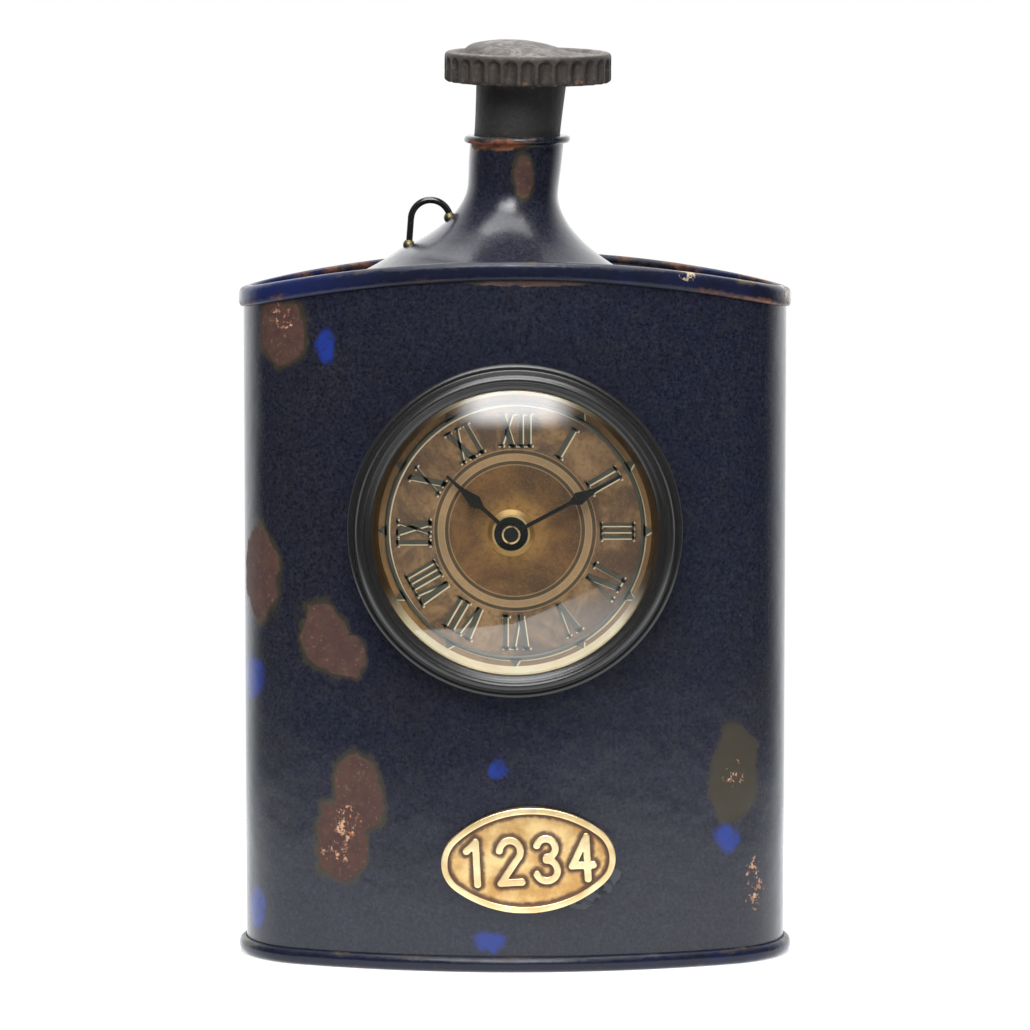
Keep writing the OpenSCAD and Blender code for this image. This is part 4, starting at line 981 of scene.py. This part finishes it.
def numeral_bars(letters, height):
    """Flat corners of the bars that make up a numeral, feet at 0 and tops at height, in mm."""
    thick, thin, serif_tall = 1.5, 0.7, 0.6

    def stroke(foot, top, width):
        half = width / 2
        return [(foot - half, 0), (foot + half, 0), (top - half, height), (top + half, height)]

    def serif(middle, width, up):
        low, high = (height - serif_tall, height) if up else (0, serif_tall)
        return [(middle - width / 2, low), (middle + width / 2, low),
                (middle - width / 2, high), (middle + width / 2, high)]

    bars = []
    for kind, at, size in letters:
        if kind == "I":
            bars.append(stroke(at, at, size))
            bars += [serif(at, size + 1.1, up) for up in (True, False)]
        elif kind == "V":
            bars += [stroke(at - 0.2, at - size + 0.5, thick),
                     stroke(at + 0.2, at + size - 0.3, thin),
                     serif(at - size + 0.5, 2.4, True), serif(at + size - 0.3, 1.7, True)]
        else:
            bars += [stroke(at + size - 0.5, at - size + 0.5, thick),
                     stroke(at - size + 0.4, at + size - 0.4, thin),
                     serif(at - size + 0.5, 2.3, True), serif(at + size - 0.4, 1.7, True),
                     serif(at + size - 0.5, 2.3, False), serif(at - size + 0.4, 1.7, False)]
    return bars


def dial_marks(shift, low, high):
    """Numerals, outer circle and hour triangles, moved across the dial by shift."""
    clock = bpy.context.scene.clock
    foot, top, track = clock.numeral_foot, clock.numeral_top, clock.track_radius
    wide, tip, tall = 1.6 * MM, 0.05 * MM, 2.5 * MM
    inwards, outwards = -0.55, 0.6
    pieces = []
    for hour, letters in enumerate(NUMERALS, 1):
        angle = hour * math.tau / 12
        out = Vector((math.sin(angle), math.cos(angle)))
        side = Vector((math.cos(angle), -math.sin(angle)))

        def point(across, up):
            flat = side * across + out * up
            return CLOCK_FACE.x + flat.x + shift[0], CLOCK_FACE.z + flat.y + shift[1]

        for corners in numeral_bars(letters, (top - foot) / MM):
            pieces.append(bar([point(x * MM, foot + z * MM) for x, z in corners], low, high))
        pieces.append(bar([point(-wide, track), point(wide, track), point(-tip, track + tall),
                           point(tip, track + tall)], low, high))
    middle = Vector((CLOCK_FACE.x + shift[0], 0, CLOCK_FACE.z + shift[1]))
    edges = [track / MM + side for side in (inwards, outwards, outwards, inwards)]
    pieces.append(spun_ring([(r, y / MM) for r, y in zip(edges, (high, high, low, low))], middle))
    return join(pieces)


def relief_plate():
    """The cast plate: the part's shape with softer edges, marking relief, grime and painted shade
    """
    piece = cad_copy("number_plate")
    piece.data.remesh_voxel_size = 0.2 * MM
    bpy.ops.object.voxel_remesh()
    bpy.ops.object.modifier_add(type="SMOOTH")
    piece.modifiers[0].factor = 0.5
    piece.modifiers[0].iterations = 12
    bpy.ops.object.modifier_apply(modifier=piece.modifiers[0].name)
    bpy.ops.object.shade_smooth()
    relief, reach, raised = 0.8 * MM, 1.9 * MM, 0.82
    places = [vertex.co for vertex in piece.data.vertices]
    heights = [(PLATE_FRONT + relief - place.y) / relief for place in places]
    tree = kdtree.KDTree(len(places))
    for index, (place, height) in enumerate(zip(places, heights)):
        if height > raised:
            tree.insert(place, index)
    tree.balance()
    # How near each field vertex lies to the relief, for the grime and painted shade beside it
    near = [0.0 if height > raised else 1 - tree.find(place)[2] / reach
            for place, height in zip(places, heights)]
    mark(piece, "proud", map(clamp, heights))
    mark(piece, "grime_and_shade", map(clamp, near))
    return piece


# Operators


def paint_nodes(material, *nodes):
    for node in nodes:
        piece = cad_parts[node]
        piece.data.materials.clear()
        piece.data.materials.append(material)


class FLASK_OT_enamel(bpy.types.Operator):
    """Enamels the flask's tin"""

    bl_idname = "flask.enamel"
    bl_label = "Enamel"

    def execute(self, context):
        coat = enamel()
        paint_nodes(coat, "body_shell", "base_plate")
        new_piece("shoulder_and_neck", flask_top(), coat, "flask", ("shoulder", "neck"))
        edge = rim_enamel()
        top = bead(TOP_BEAD, arch)
        new_piece("upper_rim_bead", top, edge, "flask", ("top_rim",))
        foot = bead(FOOT_BEAD, lambda x, up: FOOT_LOW.z + up)
        new_piece("foot_rim_bead", foot, edge, "flask", ("base_rim",))
        paint_nodes(gloss_black("loop_black", rough=0.1), "wire_loop")
        paint_nodes(metal("old_solder", (0.2, 0.17, 0.09), rough=0.45, wear=0.8), "loop_solder")
        paint_nodes(moulded("old_glue", (0.07, 0.075, 0.09), rough=0.3), "plate_adhesive")
        return {"FINISHED"}


class FLASK_OT_number_plate(bpy.types.Operator):
    """Finishes the oval number plate"""

    bl_idname = "flask.number_plate"
    bl_label = "Number plate"

    def execute(self, context):
        new_piece("cast_number_plate", relief_plate(), cast_brass(), "flask",
                  ("number_plate",))
        return {"FINISHED"}


class FLASK_OT_stopper(bpy.types.Operator):
    """Finishes the stopper and its seal"""

    bl_idname = "flask.stopper"
    bl_label = "Stopper"

    def execute(self, context):
        whole = join([stopper_head(), stopper_plug()])
        mark(whole, "upward", [clamp(vertex.normal.z) for vertex in whole.data.vertices])
        new_piece("fluted_stopper", whole, old_rubber(), "stopper", ("stopper",))
        paint_nodes(moulded("seal_rubber", (0.02, 0.019, 0.018), rough=0.7), "seal_ring")
        return {"FINISHED"}


class FLASK_OT_insert(bpy.types.Operator):
    """Finishes the clock insert: its case, bezel, glass and dial"""

    bl_idname = "flask.insert"
    bl_label = "Clock insert"

    def execute(self, context):
        black = gloss_black("bezel_black", rough=0.24)
        new_piece("turned_bezel", spun_ring(BEZEL_SECTION), black, "insert", ("bezel",))
        dark = moulded("numeral_ink", (0.075, 0.075, 0.056), rough=0.45, grain=1200, depth=0.02)
        pale = moulded("numeral_highlight", (0.8, 0.68, 0.46), rough=0.5, grain=1200, depth=0.02)
        sunk, proud, less_proud = (DIAL_FRONT + mm * MM for mm in (0.1, -0.22, -0.15))
        marks = dial_marks((0, 0), sunk, proud)
        new_piece("dial_numerals", marks, dark, "insert")
        # A pale copy shifted right and down under the numerals: a painted highlight on their lower
        # right edges
        edges = dial_marks((0.33 * MM, -0.3 * MM), sunk, less_proud)
        new_piece("dial_numeral_highlights", edges, pale, "insert")
        new_piece("domed_glass", watch_glass(), clear_glass(), "insert", ("crystal",))
        paint_nodes(pale_brass(), "rehaut_ring")
        paint_nodes(dial_bronze(), "dial")
        nut = metal("nut_brass", (0.95, 0.72, 0.36), rough=0.42, wear=0.4, dark=0.6)
        paint_nodes(nut, "fixing_nut")
        paint_nodes(moulded("washer_rubber", (0.02, 0.02, 0.02), rough=0.8), "rubber_washer")
        paint_nodes(moulded("can_plastic", (0.042, 0.037, 0.032), rough=0.55), "insert_can")
        paint_nodes(moulded("gasket_rubber", (0.024, 0.023, 0.022), rough=0.75), "gasket")
        paint_nodes(gloss_black("hand_black", rough=0.3), "hour_hand", "minute_hand")
        paint_nodes(cap_black(), "cap_nut")
        return {"FINISHED"}


class FLASK_OT_movement(bpy.types.Operator):
    """Finishes the quartz movement's pieces"""

    bl_idname = "flask.movement"
    bl_label = "Movement"

    def execute(self, context):
        case = moulded("movement_plastic", (0.012, 0.012, 0.013), rough=0.4, grain=1400)
        white = moulded("wheel_plastic", (0.72, 0.7, 0.62), rough=0.4, grain=1400, depth=0.01)
        brass = metal("wheel_brass", (0.75, 0.55, 0.24), wear=0.3, dark=0.7)
        steel = metal("plain_steel", (0.56, 0.57, 0.58), wear=0.3, dark=0.7)
        magnet = metal("magnet_grey", (0.09, 0.09, 0.095), rough=0.5)
        copper = metal(
            "coil_copper", (0.6, 0.24, 0.1), rough=0.35, dark=0.5, grain=1800, depth=0.05)
        board = moulded("board_green", (0.03, 0.1, 0.04), rough=0.35)
        jacket = metal("battery_jacket", (0.38, 0.39, 0.41), rough=0.25, wear=0.2, dark=0.8)
        paint_nodes(case, "movement_case", "rear_cover", "setting_knob")
        paint_nodes(white, "minute_wheel", "third_wheel", "rotor_pinion", "coil_bobbin")
        paint_nodes(brass, "hour_wheel", "train_plate")
        paint_nodes(arbor_brass(), "centre_wheel")
        paint_nodes(steel, "train_screws", "stator", "quartz_can")
        paint_nodes(steel, "contact_positive", "contact_negative")
        paint_nodes(magnet, "rotor_magnet")
        paint_nodes(copper, "coil_winding")
        paint_nodes(board, "circuit_board")
        paint_nodes(jacket, "battery")
        return {"FINISHED"}


def aimed(name, data, place, aim):
    """A lamp or camera at its place, turned to its aim."""
    holder = bpy.data.objects.new(name, data)
    bpy.context.scene.collection.objects.link(holder)
    holder.location = place
    holder.rotation_euler = (Vector(aim) - Vector(place)).to_track_quat("-Z", "Y").to_euler()
    return holder


def area_light(name, place, aim, size, power):
    lamp = bpy.data.lights.new(name, "AREA")
    lamp.shape = "RECTANGLE"
    lamp.size, lamp.size_y = size
    lamp.energy = power
    aimed(name, lamp, place, aim)


class FLASK_OT_stage(bpy.types.Operator):
    """Sets the floor, the room, the lamps and the camera"""

    bl_idname = "flask.stage"
    bl_label = "Stage"

    def execute(self, context):
        stage = context.scene.stage
        self.floor()
        self.room(stage.ambient)
        area_light("overhead_box", place=(0.02, -0.2, 0.95), aim=(0, 0, 0.15), size=(0.7, 0.6),
                   power=stage.overhead)
        area_light("front_box", place=(-0.1, -0.8, 0.85), aim=(0, 0, 0.12), size=(0.6, 0.4),
                   power=stage.front)
        lens = bpy.data.cameras.new("photo_camera")
        lens.lens = stage.lens
        lens.sensor_width = 36
        lens.clip_start = 0.01
        context.scene.camera = aimed("photo_camera", lens, stage.camera_place, stage.camera_aim)
        context.scene.view_settings.view_transform = "Standard"
        return {"FINISHED"}

    def floor(self):
        """A white table whose front edge runs slanting, close to the flask on the left."""
        edge = ((-1.5, -0.2), (-0.12, -0.21), (0, -0.25), (0.2, -0.45), (1.5, -0.6),
                (1.5, 3), (-1.5, 3))
        floor = polygon([(x, y, FOOT_LOW.z) for x, y in edge], "NGON")
        floor.name = "floor"
        # Lamp-lit plus a faint glow near the flask, a plain white glow farther off, a bright glow
        # in reflections
        paint = new_paint("pale_floor")
        away = paint.vector("LENGTH", paint.place)
        behind = (paint.axes()[1] / away).above(0.1, 0.8)
        sheen = away.below(0.24, 0.44) * 1.8 + away.below(0.5, 0.9) * 0.25
        plain = paint.shader("BsdfDiffuse", Color=(0.8, 0.8, 0.81, 1))
        lift = paint.shader("Emission", Color=(1, 1, 1, 1), Strength=0.6)
        white = paint.shader("Emission", Color=(1, 1, 1, 1), Strength=1.0)
        bright = paint.shader(
            "Emission", Color=(0.95, 0.98, 1, 1), Strength=sheen.maths("MAXIMUM", behind * 1.6))
        near = paint.node("ShaderNodeAddShader", None, [plain, lift])
        shown = paint.blend(away.above(0.1, 0.24), near, white)
        other = paint.blend(paint.ray("Glossy"), plain, bright)
        floor.data.materials.append(paint.finish(paint.blend(paint.ray("Camera"), other, shown)))

    def room(self, ambient):
        """White to the camera; gloss sees it dim, but for its back, a ceiling and a window."""
        world = bpy.data.worlds.new("studio")
        bpy.context.scene.world = world
        paint = Paint(world, "Generated", "ShaderNodeOutputWorld")
        x, y, z = paint.axes()
        dim = z.above(-0.2, 0.9) * 0.1 + 0.02
        behind = y.above(0.1, 0.8) * 1.9
        ceiling = z.above(0.35, 0.65) * abs(x).below(0.1, 0.5) * y.above(-0.25, 0.05) * 3.2
        window = z.above(0.265, 0.34) * z.below(0.62, 0.72) * abs(x).below(0.1, 0.23)
        glossy = dim.maths("MAXIMUM", behind).maths("MAXIMUM", ceiling)
        glossy = glossy + window * y.below(-0.3, -0.1) * 9
        camera, mirror = paint.ray("Camera"), paint.ray("Glossy")
        strength = camera + (1 - camera) * (mirror * glossy + (1 - mirror) * ambient)
        paint.finish(paint.shader("Background", Color=(1, 1, 1, 1), Strength=strength))


class FLASK_PT_looks(bpy.types.Panel):
    """The flask clock's settings and steps"""

    bl_idname = "FLASK_PT_looks"
    bl_label = "Flask Clock"
    bl_space_type = "VIEW_3D"
    bl_region_type = "UI"
    bl_category = "Flask Clock"

    def draw(self, context):
        for step in STEPS:
            self.layout.operator(step.bl_idname)


GROUPS = {
    "flask": FlaskSettings, "stopper": StopperSettings, "clock": ClockSettings,
    "stage": StageSettings}
STEPS = (FLASK_OT_stage, FLASK_OT_enamel, FLASK_OT_number_plate, FLASK_OT_stopper, FLASK_OT_insert,
         FLASK_OT_movement)
CLASSES = (*GROUPS.values(), *STEPS, FLASK_PT_looks)


def register():
    for cls in CLASSES:
        bpy.utils.register_class(cls)
    for name, group in GROUPS.items():
        setattr(bpy.types.Scene, name, bpy.props.PointerProperty(type=group))


def unregister():
    for name in GROUPS:
        delattr(bpy.types.Scene, name)
    for cls in reversed(CLASSES):
        bpy.utils.unregister_class(cls)


def main():
    register()
    for step in STEPS:
        group, name = step.bl_idname.split(".")
        getattr(getattr(bpy.ops, group), name)()


if __name__ == "__main__":
    main()
